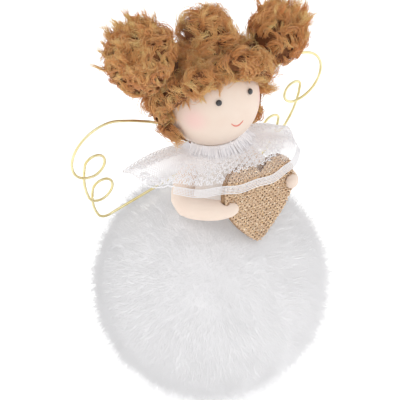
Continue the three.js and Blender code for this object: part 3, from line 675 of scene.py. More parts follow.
LOCK_AREA = 8.0 * MM * MM
LOCK_FIBRES = 24
LOCK_STEPS = 20
LOCK_BASE = (-1.3, -0.4)
LOCK_BEND = (120, 460)
LOCK_WAVES = (0.3, 1.1)
LOCK_SHADE, LOCK_SHADE_SPREAD, FIBRE_SHADE_SPREAD = 0.52, 0.28, 0.14
LAID = {"length": (9, 16), "arch": (0.3, 1.5), "lift": (0.0, 1.6)}
TUFT = {"length": (6, 10), "arch": (0.9, 2.6), "lift": (1.2, 5.4)}
TUFT_SHARE = 0.45
HANGING_LIFT, HANGING_BEND = 0.6, 0.5
FIBRE_STEPS = 13
FIBRE_RADIUS = 0.1 * MM
FRAY = 0.95
STRAY_SHARE, STRAY_SPREAD = 0.22, 2.1
PIECE_FIBRES = 2700
HAIR_INSETS = {"hair_bun_left": 1.4 * MM, "hair_bun_right": 1.4 * MM, "hair_crown": 1.2 * MM}
HAIR_INSET = 0.7 * MM
HEAD_GAP = 2.0 * MM
BUN_RISE = 0.55
BUN_SPIKES = 64
BUN_SPIKE_LENGTH = (3.5 * MM, 8.0 * MM)
BUN_SPIKE_ROOT = 1.2 * MM
BUN_SPIKE_BEND = 1.3 * MM
BUN_SPIKE_FRAY = 0.5


def hair_samples(node, dice):
    """Random points on a hair solid's skin, with their normals."""
    mesh = nodes[node].data
    mesh.calc_loop_triangles()
    triangles = np.array([triangle.vertices for triangle in mesh.loop_triangles])
    points, _ = surface_points(mesh)
    a, b, c = (points[triangles[:, corner]] for corner in range(3))
    cross = np.cross(b - a, c - a)
    area = np.linalg.norm(cross, axis=1) / 2
    count = int(area.sum() / LOCK_AREA)
    chosen = dice.choice(len(area), count, p=area / area.sum())
    first, second = np.sqrt(dice.uniform(size=count))[:, None], dice.uniform(size=count)[:, None]
    spots = (1 - first) * a[chosen] + first * (1 - second) * b[chosen] + first * second * c[chosen]
    return spots, unit(cross[chosen])


def open_spots(node, spots, normals, trees):
    """Which spots are on the outside of the hair, not against the head or another bunch."""
    keep = np.linalg.norm(spots + 0.5 * MM * normals - HEAD_CENTRE, axis=1) > HEAD_RADIUS + HEAD_GAP
    for index in np.flatnonzero(keep):
        probe = spots[index] + 0.9 * MM * normals[index]
        keep[index] = all(depth_in(tree, probe) < 0.1 * MM for name, tree in trees.items() if name != node)
    return keep


def above_nape(points):
    """Lifts points at the back clear of the wires that swing below the hair."""
    slope = math.tan(math.radians(NAPE_TILT))
    floor = HEAD_CENTRE[2] + HAIRLINE_RISE - slope * points[..., 1]
    behind = points[..., 1] > 2 * MM
    lifted = points.copy()
    lifted[..., 2] = np.where(behind, np.maximum(points[..., 2], floor), points[..., 2])
    return lifted


def soften(values, rounds=2):
    """Evens out a row of vectors along its first axis, with its ends kept."""
    for _ in range(rounds):
        values[1:-1] = 0.25 * values[:-2] + 0.5 * values[1:-1] + 0.25 * values[2:]
    return values


def lock_path(spot, normal, heading, lock, skin):
    """The middle line of a lock that curls over the hair's skin and lifts off at its end, with normals."""
    step = lock["length"] / (LOCK_STEPS - 1)
    point, up = Vector(spot), Vector(normal)
    heading = (Vector(heading) - up * up.dot(Vector(heading))).normalized()
    points, normals = [], []
    for index in range(LOCK_STEPS):
        share = index / (LOCK_STEPS - 1)
        rise = lock["base"] + lock["arch"] * math.sin(math.pi * share)
        points.append(point + up * (rise + lock["lift"] * max(0, share - 0.5) ** 2 / 0.25))
        normals.append(up.copy())
        turn = lock["bend"] * math.cos(2 * math.pi * (share * lock["waves"] + lock["phase"])) * step
        heading = Matrix.Rotation(turn, 3, up) @ heading
        place, found, _, _ = skin.find_nearest(point + heading * step)
        up = (up * 0.5 + found * 0.5).normalized()
        heading = (heading - up * up.dot(heading)).normalized()
        point = place
    return above_nape(soften(np.array(points))), soften(np.array(normals))


def lock_shape(hanging, dice):
    """A lock's length, height and curl: either laid on the hair or a tuft that stands off it."""
    form = TUFT if dice.uniform() < TUFT_SHARE else LAID
    return {
        "length": dice.uniform(*(TUFT if hanging else form)["length"]) * MM,
        "base": dice.uniform(*LOCK_BASE) * MM,
        "arch": dice.uniform(*form["arch"]) * MM,
        "lift": dice.uniform(*form["lift"]) * (HANGING_LIFT if hanging else 1) * MM,
        "bend": dice.uniform(*LOCK_BEND) * dice.choice([-1, 1]) * (HANGING_BEND if hanging else 1),
        "waves": dice.uniform(*LOCK_WAVES),
        "phase": dice.uniform(),
    }


def bun_axis(node):
    """The middle of a bunch, half its height and the way it points: out from the head and up."""
    low, high = (np.array(corner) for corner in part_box(node))
    middle = (low + high) / 2
    return middle, (high - low)[2] / 2, unit(unit(middle - HEAD_CENTRE) + np.array([0, 0, BUN_RISE]))


def frayed_share(node, spots):
    """How far each spot lies towards a bunch's frayed end, from 0 to 1; always 1 elsewhere."""
    if "bun" not in node:
        return np.ones(len(spots))
    middle, half, axis = bun_axis(node)
    return smoothstep((spots - middle) @ axis / half, -0.1, 0.9)


def lock_heading(node, dice):
    """Which way a lock starts: along a bunch, down at the face's sides, any way elsewhere."""
    if "lock" in node:
        return np.array([0, -0.25, -1]) + dice.normal(scale=0.25, size=3)
    if "bun" in node:
        return bun_axis(node)[2] + dice.normal(scale=0.5, size=3)
    return dice.normal(size=3)


def lock_fibres(path, normals, radius, dice, fray):
    """Fine fibres that twist along a lock and part, or close up, towards its end."""
    ahead = unit(np.gradient(path, axis=0))
    up = unit(normals - (normals * ahead).sum(1, keepdims=True) * ahead)
    across = np.cross(ahead, up)
    share = np.linspace(0, 1, FIBRE_STEPS)
    start, reach = dice.uniform(0.0, 0.12, LOCK_FIBRES), dice.uniform(0.7, 1.0, LOCK_FIBRES)
    places = (start[:, None] + (reach - start)[:, None] * share) * (len(path) - 1)
    low = np.minimum(places.astype(int), len(path) - 2)
    part = (places - low)[..., None]

    def along_lock(values):
        return (1 - part) * values[low] + part * values[low + 1]

    width = radius * (0.5 + 0.5 * np.sin(np.pi * np.minimum(1, 0.25 + share)) + fray * share ** 3)
    stray = np.where(dice.uniform(size=LOCK_FIBRES) < STRAY_SHARE, STRAY_SPREAD, 1.0)
    spread = (stray * np.sqrt(dice.uniform(0.05, 1, LOCK_FIBRES)))[:, None] * width
    swing = share * dice.uniform(0.8, 2, LOCK_FIBRES)[:, None] + dice.uniform(size=LOCK_FIBRES)[:, None]
    twist = dice.uniform(2, 6) * dice.choice([-1, 1])
    angle = dice.uniform(0, 2 * np.pi, LOCK_FIBRES)[:, None] + twist * share + 0.5 * np.sin(2 * np.pi * swing)
    offset = np.cos(angle)[..., None] * along_lock(up) + np.sin(angle)[..., None] * along_lock(across)
    return along_lock(path) + spread[..., None] * offset


class Yarn:
    """The fibres of many locks, gathered lock by lock and then made into pieces."""

    def __init__(self):
        self.paths, self.shades = [], []

    def add(self, path, ups, radius, dice, fray=FRAY, lighter=0.0):
        """The fibres of one lock, with one shade for the lock and a little of its own for each fibre."""
        self.paths.append(lock_fibres(path, ups, radius, dice, fray))
        shade = dice.normal(LOCK_SHADE, LOCK_SHADE_SPREAD)
        shades = np.clip(shade + dice.normal(scale=FIBRE_SHADE_SPREAD, size=LOCK_FIBRES), 0, 1)
        self.shades.append(np.clip(shades + lighter, 0, 1))

    def make(self, name):
        """Pieces of even size, without the fibres that would catch the wires."""
        paths, shade = np.concatenate(self.paths), np.concatenate(self.shades)
        clear = clear_of_wires(paths)
        paths, shade = paths[clear], shade[clear]
        taper = FIBRE_RADIUS * np.minimum(1, 1.3 - np.linspace(0, 1, FIBRE_STEPS))
        for part, start in enumerate(range(0, len(paths), PIECE_FIBRES), 1):
            chosen = slice(start, start + PIECE_FIBRES)
            piece = strand_piece(f"{name}_{part}", paths[chosen], taper, shade[chosen])
            dress(piece, YARN)


def make_hair():
    trees = {name: tree_of(name) for name in HAIR_NODES}
    skin = tree_of(*HAIR_NODES)
    for seed, node in enumerate(HAIR_NODES):
        dice = np.random.default_rng(100 + seed)
        # The shrunk hair solid under the locks, dark brown as painted shade in the gaps between them
        under = soft_copy(node, f"{node}_under", 0.8 * MM, 3, grow=-HAIR_INSETS.get(node, HAIR_INSET))
        dress(under, HAIR_SHADE_UNDERLAYER, replaced=node)
        spots, normals = hair_samples(node, dice)
        keep = open_spots(node, spots, normals, trees)
        spots, normals = spots[keep], normals[keep]
        frayed = frayed_share(node, spots)
        yarn = Yarn()
        for spot, normal, loose in zip(spots, normals, frayed):
            lock = lock_shape("lock" in node, dice)
            lock["arch"] *= 0.2 + 0.8 * loose
            lock["lift"] *= 0.05 + 0.95 * loose
            path, ups = lock_path(spot, normal, lock_heading(node, dice), lock, skin)
            radius = dice.uniform(0.75, 1.3) * (0.7 + 0.3 * loose) * MM
            yarn.add(path, ups, radius, dice, FRAY * loose)
        if "bun" in node:
            for path, ups in bun_spikes(node, spots, normals, frayed, dice):
                yarn.add(path, ups, dice.uniform(0.6, 1.1) * MM, dice, BUN_SPIKE_FRAY)
        yarn.make(f"{node}_yarn")


def bun_spikes(node, spots, normals, frayed, dice):
    """Tufts that stand out of a bunch's frayed end, spread like a brush."""
    _, _, axis = bun_axis(node)
    share = np.linspace(0, 1, LOCK_STEPS)[:, None]
    chosen = dice.choice(len(spots), BUN_SPIKES, p=frayed ** 2 / (frayed ** 2).sum())
    for spot, normal in zip(spots[chosen], normals[chosen]):
        ahead = unit(axis + 0.7 * normal + dice.normal(scale=0.22, size=3))
        bend = dice.normal(scale=BUN_SPIKE_BEND, size=3)
        length = dice.uniform(*BUN_SPIKE_LENGTH)
        path = spot - BUN_SPIKE_ROOT * normal + length * share * ahead + share ** 2 * bend
        yield path, np.broadcast_to(unit(np.cross(ahead, dice.normal(size=3))), path.shape)


# Loose ends: their place on the head in degrees, and how far they lift off in millimetres
LOOSE_TUFTS = [
    {"azimuth": 112, "latitude": 60, "spread": 11, "count": 40, "stand": 3.0 * MM, "lift": (2.5, 7.5)},
    {"azimuth": -108, "latitude": 66, "spread": 12, "count": 36, "stand": 4.0 * MM, "lift": (2.5, 7.5)},
    {"azimuth": 84, "latitude": 6, "spread": 10, "count": 24, "stand": 0.8 * MM, "lift": (1.5, 5.5)},
    {"azimuth": -102, "latitude": 20, "spread": 12, "count": 26, "stand": 2.0 * MM, "lift": (2.0, 6.0)},
    {"azimuth": -98, "latitude": 4, "spread": 9, "count": 20, "stand": 0.8 * MM, "lift": (1.2, 4.5)},
]
LOOSE_LENGTH = (5, 9)


def make_loose_tufts():
    """Loose ends that stand off the head between the bunches and in front of the ears."""
    skin = tree_of("head", *HAIR_NODES)
    dice = np.random.default_rng(83)
    yarn = Yarn()
    for bunch in LOOSE_TUFTS:
        for _ in range(bunch["count"]):
            turn, tilt = dice.normal(scale=bunch["spread"] / 2, size=2)
            start = on_head(bunch["azimuth"] + turn, bunch["latitude"] + tilt, HEAD_RADIUS + bunch["stand"])
            place, normal, _, _ = skin.find_nearest(Vector(start))
            lock = lock_shape(False, dice)
            lock["base"] = 0.0
            lock["length"] = dice.uniform(*LOOSE_LENGTH) * MM
            lock["lift"] = dice.uniform(*bunch["lift"]) * MM
            path, ups = lock_path(place, normal, dice.normal(size=3), lock, skin)
            yarn.add(path, ups, dice.uniform(0.7, 1.2) * MM, dice)
    yarn.make("loose_tufts")


# Hairline: its azimuth and latitude in degrees, and the tufts' lengths in millimetres
HAIRLINE = [
    (-97, -8), (-91, 2), (-72, 26), (-53, 39), (-28, 49), (-8, 53),
    (2, 53), (20, 48), (36, 41), (60, 27), (82, 4),
]
HAIRLINE_TUFTS = 64
HAIRLINE_NOTCH = (-19, -4)
HAIRLINE_LENGTHS = {"notch": (1.5, 2.5), "left": (4.0, 7.2), "right": (2.6, 4.4)}
HAIRLINE_STAND = 0.5 * MM
HAIRLINE_FRAY = -0.4
HAIRLINE_LIGHTER = 0.12


def make_hairline():
    """Pointed tufts that lie on the forehead along the hairline, with a gap where the fringe parts."""
    dice = np.random.default_rng(41)
    share = np.linspace(0, 1, LOCK_STEPS)
    yarn = Yarn()
    for azimuth in np.linspace(HAIRLINE[0][0], HAIRLINE[-1][0], HAIRLINE_TUFTS):
        azimuth += dice.normal(scale=1.2)
        latitude = np.interp(azimuth, *np.array(HAIRLINE).T) + dice.uniform(3, 7)
        parting = HAIRLINE_NOTCH[0] < azimuth < HAIRLINE_NOTCH[1]
        stretch = "notch" if parting else "left" if azimuth < 0 else "right"
        length = dice.uniform(*HAIRLINE_LENGTHS[stretch]) * MM
        turn = dice.normal(scale=0.3) + dice.normal(scale=0.5) * share
        degrees = np.degrees(length / HEAD_RADIUS) * share
        arch = dice.uniform(0.3, 1.3) * MM * np.sin(np.pi * (0.35 + 0.6 * share))
        stand = HEAD_RADIUS + HAIRLINE_STAND + arch
        path = on_head(azimuth + degrees * np.sin(turn), latitude - degrees * np.cos(turn), stand)
        ups = unit(path - HEAD_CENTRE)
        yarn.add(path, ups, dice.uniform(0.7, 1.1) * MM, dice, HAIRLINE_FRAY, HAIRLINE_LIGHTER)
    yarn.make("hairline_tufts")


def make_ties():
    for side in SIDES:
        tie = sharp_copy(f"bun_tie_{side}", f"bun_tie_{side}_elastic", 80)
        dress(tie, ELASTIC, replaced=f"bun_tie_{side}")


# Heart

HEART_WIDTH = 30 * MM
HEART_HEIGHT = 28 * MM
HEART_NOTCH = 3.6 * MM
HEART_SHOULDER = 19 * MM
HEART_LOBE_X = 7.5 * MM
HEART_TIP = (2 * MM, -22.4 * MM)
HEART_TILT, HEART_LEAN, HEART_YAW = 8, 8, 6.5
HEART_BOARD = 1.5 * MM
HEART_CLOTH = 0.7 * MM
GROUND_THICKNESS = 0.25 * MM
GROUND_SHARE = 0.985
WEAVE_PITCH = 0.95 * MM
WEAVE_THREAD = 0.355 * MM
WEAVE_HEIGHT = 0.2 * MM
WEAVE_STEPS = 64
WEAVE_WANDER, WEAVE_WANDER_LENGTH = 0.09 * MM, 3.1 * MM
FLAKES = 1200
FLAKE_SIZE = 0.21 * MM
FLAKE_INSET = 0.5 * MM
FLAKE_TILT = 0.45

heart_tip_z = BALL_CENTRE[2] + math.sqrt((BALL_RADIUS + FIT) ** 2 - HEART_TIP[0] ** 2 - HEART_TIP[1] ** 2)
heart_turn = np.array(
    Matrix.Rotation(math.radians(HEART_YAW), 3, "Z")
    @ Matrix.Rotation(-math.radians(HEART_TILT), 3, "X")
    @ Matrix.Rotation(math.radians(HEART_LEAN), 3, "Y")
)
weave_front = HEART_BOARD + FIT + 0.55 * HEART_CLOTH


def on_heart(sideways, height, front):
    """A point by its sideways place, its height above the heart's tip and its distance in front."""
    flat = np.stack(np.broadcast_arrays(sideways, -np.asarray(front, float), height), axis=-1)
    return flat @ heart_turn.T + np.array([*HEART_TIP, heart_tip_z])


def heart_outline(steps=24):
    """The heart's outline from its tip, up its right side and down its left one."""
    half, lobe = HEART_WIDTH / 2, HEART_HEIGHT - HEART_SHOULDER
    side = [
        (0, 0), (0.28 * half, 0.09 * HEART_SHOULDER),
        (half, 0.62 * HEART_SHOULDER), (half, HEART_SHOULDER),
    ]
    top = [
        (half, HEART_SHOULDER), (half, HEART_HEIGHT + 0.16 * lobe),
        (0.3 * half, HEART_HEIGHT + 0.37 * lobe), (0, HEART_HEIGHT - HEART_NOTCH),
    ]
    share = np.linspace(0, 1, steps, endpoint=False)[:, None]
    weights = [(1 - share) ** 3, 3 * share * (1 - share) ** 2, 3 * share ** 2 * (1 - share), share ** 3]
    right = np.concatenate([sum(w * np.array(p) for w, p in zip(weights, curve)) for curve in (side, top)])
    left = np.concatenate([[[0, HEART_HEIGHT - HEART_NOTCH]], right[:0:-1] * [-1, 1]])
    return np.concatenate([right, left])


def crossings(outline, axis, level):
    """The stretches of a line at one level that lie inside the outline."""
    first, second = outline, np.roll(outline, -1, axis=0)
    crossed = (first[:, axis] > level) != (second[:, axis] > level)
    a, b = first[crossed], second[crossed]
    share = (level - a[:, axis]) / (b[:, axis] - a[:, axis])
    places = np.sort(a[:, 1 - axis] + share * (b[:, 1 - axis] - a[:, 1 - axis]))
    return list(zip(places[::2], places[1::2]))


def weave_threads(outline, axis, dice):
    """Threads at every pitch across one axis, over and under those across the other."""
    made = []
    low, high = outline[:, axis].min(), outline[:, axis].max()
    for row, level in enumerate(np.arange(low + 0.5 * WEAVE_PITCH, high, WEAVE_PITCH)):
        for start, end in crossings(outline, axis, level):
            if end - start < WEAVE_PITCH:
                continue
            run = np.linspace(start, end, WEAVE_STEPS)
            wander = WEAVE_WANDER * np.sin(run / WEAVE_WANDER_LENGTH + dice.uniform(0, 6.3))
            over = WEAVE_HEIGHT * np.cos(np.pi * (run / WEAVE_PITCH + row + axis))
            place = (level + wander, run) if axis == 0 else (run, level + wander)
            made.append(on_heart(*place, weave_front + over))
    return made


def heart_sheet(outline):
    """The cloth's ground: a thin heart between the card and the threads, dark brown as painted shade in the
    weave's gaps.
    """
    back = HEART_BOARD + FIT
    count = len(outline)
    middle = [0, 0.5 * HEART_HEIGHT]
    x, z = (GROUND_SHARE * (outline - middle) + middle).T
    points = np.concatenate([on_heart(x, z, back + lift) for lift in (0, GROUND_THICKNESS)])
    ring = np.arange(count)
    following = (ring + 1) % count
    walls = np.stack([following, ring, ring + count, following + count], axis=-1)
    corners = np.concatenate([ring, (ring + count)[::-1], walls.reshape(-1)])
    sizes = np.concatenate([[count, count], np.full(count, 4)])
    mesh = mesh_from_arrays("heart_shade_ground", points, corners, sizes)

    def turn_outward(shape):
        bmesh.ops.recalc_face_normals(shape, faces=shape.faces)
    return new_piece("heart_shade_ground", edited(mesh, turn_outward))


def glitter_flakes(outline, dice):
    """Small six-sided flakes that lie on the threads at odd angles."""
    half, low, high = HEART_WIDTH / 2, 0.06 * HEART_HEIGHT, HEART_HEIGHT
    spots = dice.uniform((-half, low), (half, high), (6 * FLAKES, 2))

    def inside(x, y):
        return any(a + FLAKE_INSET < y < b - FLAKE_INSET for a, b in crossings(outline, 0, x))

    spots = spots[np.array([inside(x, y) for x, y in spots])][:FLAKES]
    front = weave_front + WEAVE_HEIGHT + 0.75 * WEAVE_THREAD
    middles = on_heart(spots[:, 0], spots[:, 1], front + dice.uniform(-0.1, 0.1, len(spots)) * MM)
    facing = unit(heart_turn @ np.array([0, -1, 0]) + dice.normal(scale=FLAKE_TILT, size=(len(spots), 3)))
    size = FLAKE_SIZE * dice.uniform(0.6, 1.2, len(spots))[:, None]
    paths = np.stack([middles, middles + 0.05 * MM * facing, middles + 0.06 * MM * facing], axis=1)
    radii = np.hstack([size, 0.96 * size, 0 * size])
    return strand_piece("heart_flakes", paths, radii, dice.uniform(size=len(spots)), sides=6)


def make_heart():
    outline = heart_outline()
    card = sharp_copy("heart_board", "heart_card")
    dress(card, CARD, replaced="heart_board")
    # The dark ground behind the weave is painted shade
    backing = heart_sheet(outline)
    dress(backing, HEART_SHADE_GROUND, replaced="heart_cloth")
    dice = np.random.default_rng(53)
    runs = np.array(weave_threads(outline, 0, dice) + weave_threads(outline, 1, dice))
    radii = WEAVE_THREAD * dice.uniform(0.9, 1.1, (len(runs), 1))
    weave = strand_piece("heart_weave", runs, radii, dice.uniform(size=len(runs)), sides=6)
    dress(weave, GLITTER)
    flakes = glitter_flakes(outline, dice)
    dress(flakes, FLAKE)


# Lace collar: u runs from end to end round the neck and v from the neck to the edge, both from 0 to 1

LACE_THICKNESS = 0.7 * MM
COLLAR_NECK_RADIUS = 6.6 * MM
COLLAR_FRONT_REACH = 26 * MM
COLLAR_LEFT_REACH = 33 * MM
COLLAR_RIGHT_REACH = 29 * MM
COLLAR_BACK_EDGE = 2.5 * MM
COLLAR_FRONT_DROP = 0.6 * MM
COLLAR_FRONT_ROOM = 1.8 * MM
COLLAR_FRONT_BEND = 10
COLLAR_SIDE_DROP = 3.6 * MM
COLLAR_SIDE_LIFT = 0.8 * MM
COLLAR_SIDE_BEND = 3
COLLAR_SIDE_FROM, COLLAR_SIDE_TO = 48, 85
COLLAR_LEAN = 4.5
COLLAR_FOLDS = 13
COLLAR_FOLD_DEPTH = 1.3 * MM
COLLAR_FRONT_FOLD_SHARE = 0.25
HEM_FROM, HEM_TO = 0.2, 0.82
HEM_WIDTH = 0.88 * MM
HEM_ROWS, HEM_COLUMNS = 6, 130
HEM_THREAD = 0.09 * MM
HEM_EDGE_THREAD = 1.6 * HEM_THREAD
HEM_CROSS_THREAD = 0.9 * HEM_THREAD
NET_THREADS = 150
NET_SLANT = 0.16
NET_STEPS = 44
NET_THREAD = 0.105 * MM
NET_FRONT_THREAD = 0.05 * MM
NET_FRONT_EDGE_THREAD = 0.02 * MM
MOTIF_SIZE = 1.6 * MM
MOTIF_STEP = 3.1 * MM
MOTIF_THREAD = 0.22 * MM
MOTIF_POINTS = 73
BAND_ROWS = (1.8 * MM, 4.7 * MM)
FRONT_ROWS = [(0.34, HEM_TO), (0.5, HEM_TO), (0.66, HEM_TO), (0.79, HEM_TO), (0.93, 0.36)]
FRONT_MOTIF_THREAD = 0.16 * MM
SCALLOP = 1.5 * MM
SCALLOP_DEPTH = 0.45 * MM
GATHERS = 110
GATHER_SWAY = 0.012
PLEATS = 420
PLEAT_THREAD = 0.15 * MM
PLEAT_TOP_RADIUS = 10.4 * MM
PLEAT_FOOT_RADIUS = 12 * MM
PLEAT_FOOT_SPREAD = 2.0 * MM

collar_neck_z = TORSO_TOP + 2 * FIT + LACE_THICKNESS
lobe_tops = on_heart(np.array([-HEART_LOBE_X, HEART_LOBE_X]), HEART_HEIGHT, 0.0)[:, 2]
front_lift = lobe_tops.max() + COLLAR_FRONT_ROOM - collar_neck_z
collar_slope = math.tan(math.radians(COLLAR_LEAN))


def on_collar(u, v):
    """A point of the lace."""
    u, v = np.broadcast_arrays(np.asarray(u, float), np.asarray(v, float))
    side_reach = np.where(u < 0.5, COLLAR_LEFT_REACH, COLLAR_RIGHT_REACH)
    outward = np.maximum(v, 0)
    side_radius = COLLAR_NECK_RADIUS + outward * (side_reach - COLLAR_NECK_RADIUS)
    angle = (2 * u - 1) * (np.pi / 2 + np.arcsin(np.minimum(1, COLLAR_BACK_EDGE / side_radius)))
    reach = mix(COLLAR_FRONT_REACH, side_reach, np.sin(angle) ** 2)
    radius = COLLAR_NECK_RADIUS + v * (reach - COLLAR_NECK_RADIUS)
    side = smoothstep(np.abs(angle), math.radians(COLLAR_SIDE_FROM), math.radians(COLLAR_SIDE_TO))
    lift = mix(front_lift, COLLAR_SIDE_LIFT, side)
    fall = mix(front_lift + COLLAR_FRONT_DROP, COLLAR_SIDE_DROP, side)
    bend = mix(COLLAR_FRONT_BEND, COLLAR_SIDE_BEND, side)
    depth = COLLAR_FOLD_DEPTH * mix(COLLAR_FRONT_FOLD_SHARE, 1, side)
    folds = depth * outward ** 2 * np.cos(COLLAR_FOLDS * angle)
    x = radius * np.sin(angle)
    z = lift * v * (2 - v) - fall * np.abs(v) ** bend + folds - collar_slope * x
    return np.stack([x, -radius * np.cos(angle), collar_neck_z + z], axis=-1)


def collar_scale(u, v):
    """The lengths that a full share of u and of v would have at a place on the lace."""
    step = 1e-3
    along = np.linalg.norm(on_collar(u + step, v) - on_collar(u - step, v), axis=-1) / (2 * step)
    outward = np.linalg.norm(on_collar(u, v + step) - on_collar(u, v - step), axis=-1) / (2 * step)
    return along, outward


def collar_area():
    """The area of the lace between the neck and the edge."""
    grid = on_collar(*np.meshgrid(np.linspace(0, 1, 200), np.linspace(0, 1, 60)))
    first = grid[1:, 1:] - grid[:-1, :-1]
    second = grid[1:, :-1] - grid[:-1, 1:]
    return np.linalg.norm(np.cross(first, second), axis=-1).sum() / 2


def collar_net():
    """Slanting threads both ways between the neck and the edge, finer in front."""
    share = np.linspace(0, 1, NET_STEPS)
    runs, radii = [], []
    for slant in (-NET_SLANT, NET_SLANT):
        for start in np.linspace(-NET_SLANT, 1 + NET_SLANT, NET_THREADS):
            inside = (start + slant * share >= 0) & (start + slant * share <= 1)
            if inside.sum() < 3:
                continue
            v = np.linspace(share[inside].min(), share[inside].max(), NET_STEPS)
            u = start + slant * v
            runs.append(on_collar(u, v))
            front = mix(NET_FRONT_THREAD, NET_FRONT_EDGE_THREAD, smoothstep(v, 0.3, 0.75))
            radii.append(mix(front, NET_THREAD, smoothstep(np.abs(2 * u - 1), 0.25, 0.6)))
    return strand_piece("collar_net", np.array(runs), np.array(radii), sides=4)


def lace_flower(u, v, turn):
    """A round motif of six petals on the lace."""
    angle = np.linspace(0, 2 * np.pi, MOTIF_POINTS)
    petal = MOTIF_SIZE * (0.32 + 0.68 * np.abs(np.cos(3 * angle)))
    along, outward = collar_scale(u, v)
    return on_collar(u + petal * np.cos(angle + turn) / along, v + petal * np.sin(angle + turn) / outward)


def collar_flowers():
    """Bold motifs in rows along the lace's ends and outer edge, and fine ones over its front."""
    made = []
    for end in (0, 1):
        inward = 1 - 2 * end
        for row, inset in enumerate(BAND_ROWS):
            _, outward = collar_scale(end, 0.6)
            for v in np.arange(0.2 + 0.5 * row * MOTIF_STEP / outward, 0.93, MOTIF_STEP / outward):
                along, _ = collar_scale(end, v)
                made.append(lace_flower(end + inward * inset / along, v, row + v))
        along, outward = collar_scale(end, 0.95)
        rows = np.arange(3 * MOTIF_STEP / along, HEM_FROM, MOTIF_STEP / along)
        made += [lace_flower(end + inward * u, 1 - BAND_ROWS[0] / outward, u) for u in rows]
    bold = len(made)
    for row, (v, last) in enumerate(FRONT_ROWS):
        step = MOTIF_STEP / collar_scale(0.5, v)[0]
        first = HEM_FROM + 0.5 * step * (row % 2)
        made += [lace_flower(u, v, row + u) for u in np.arange(first, last, step)]
    radii = np.where(np.arange(len(made)) < bold, MOTIF_THREAD, FRONT_MOTIF_THREAD)[:, None]
    return strand_piece("collar_flowers", np.array(made), radii, sides=5)


def collar_scallops():
    """A scalloped cord along both ends of the lace and the open stretches of its outer edge."""
    share = np.linspace(0, 1, 240)
    made = []
    for end, last in ((0, HEM_FROM), (1, HEM_TO)):
        _, outward = collar_scale(end, 0.6)
        wave = SCALLOP_DEPTH * np.abs(np.sin(np.pi * share * outward / SCALLOP))
        along, _ = collar_scale(end, np.maximum(share, 0.15))
        made.append(on_collar(end - (1 - 2 * end) * wave / along, share))
        along, outward = collar_scale(mix(end, last, share), 1.0)
        wave = SCALLOP_DEPTH * np.abs(np.sin(np.pi * share * abs(last - end) * along / SCALLOP))
        made.append(on_collar(mix(end, last, share), 1 + wave / outward))
    return strand_piece("collar_scallops", np.array(made), MOTIF_THREAD, sides=5)


def collar_gathers():
    """Creases that run out from the gathered neck."""
    dice = np.random.default_rng(67)
    starts, reaches = dice.uniform(0.02, 0.98, GATHERS), dice.uniform(0.25, 0.75, GATHERS)
    share = np.linspace(0, 1, 16)
    sway = GATHER_SWAY * np.sin(2 * np.pi * (share + dice.uniform(size=(GATHERS, 1))))
    runs = on_collar(starts[:, None] + sway, reaches[:, None] * share)
    return strand_piece("collar_gathers", runs, 1.3 * NET_THREAD * (1.2 - share), sides=4)


def hem_point(u, v):
    """A point of the hem by its shares along the front and down from the lace's edge."""
    drop = (FIT + HEM_WIDTH * np.asarray(v)) / (COLLAR_FRONT_REACH - COLLAR_NECK_RADIUS)
    return on_collar(mix(HEM_FROM, HEM_TO, np.asarray(u)), 1 + drop)


def hem_threads():
    """The hem's woven band: threads along it and short ones across."""
    share, down = np.linspace(0, 1, 260), np.linspace(0, 1, 8)
    rows = np.array([hem_point(share, level) for level in np.linspace(0, 1, HEM_ROWS)])
    columns = np.array([hem_point(place, down) for place in np.linspace(0, 1, HEM_COLUMNS)])
    thickness = np.full((HEM_ROWS, 1), HEM_THREAD)
    thickness[[0, -1]] = HEM_EDGE_THREAD
    return [
        strand_piece("hem_rows", rows, thickness, sides=5),
        strand_piece("hem_columns", columns, HEM_CROSS_THREAD, sides=5),
    ]


def neck_pleats():
    """The lace's gathered top edge: a fine ruffle from the shoulders to the chin, wider in front."""
    dice = np.random.default_rng(71)
    angle = np.pi * (2 * np.arange(PLEATS)[:, None] / PLEATS - 1)
    share = np.append(np.linspace(0, 1, 9), 1.01)
    front = smoothstep(np.cos(angle), 0, 0.6)
    front_foot = PLEAT_FOOT_RADIUS + np.abs(dice.normal(scale=PLEAT_FOOT_SPREAD, size=angle.shape))
    foot_radius = mix(COLLAR_NECK_RADIUS, front_foot, front)
    radius = mix(foot_radius, PLEAT_TOP_RADIUS, share)
    chin = HEAD_CENTRE[2] - math.sqrt(HEAD_RADIUS ** 2 - PLEAT_TOP_RADIUS ** 2)
    outward = (foot_radius - COLLAR_NECK_RADIUS) / (COLLAR_FRONT_REACH - COLLAR_NECK_RADIUS)
    below = on_collar(0.5 + 0.45 * angle / np.pi, outward)
    foot = below[..., 2] + collar_slope * (below[..., 0] - foot_radius * np.sin(angle))
    height = mix(foot, chin - PLEAT_THREAD - 0.5 * FIT, share)
    runs = np.stack([radius * np.sin(angle), -radius * np.cos(angle), height], axis=-1)
    return strand_piece("neck_pleats", runs, PLEAT_THREAD, sides=6)


def make_collar():
    net = dress(collar_net(), TULLE, replaced="lace_collar")
    rows, columns = hem_threads()
    dress(rows, LACE, replaced="collar_hem")
    extras = [rows, columns, collar_flowers(), collar_scallops(), collar_gathers(), neck_pleats()]
    for piece in extras[1:-1]:
        dress(piece, LACE)
    dress(extras[-1], TULLE)
    thread = sharp_copy("gather_thread", "neck_thread", 80)
    dress(thread, LACE, replaced="gather_thread")
    collar_area()


# Wings: each bend has its radius in millimetres, its sweep in degrees and whether the wire climbs in it

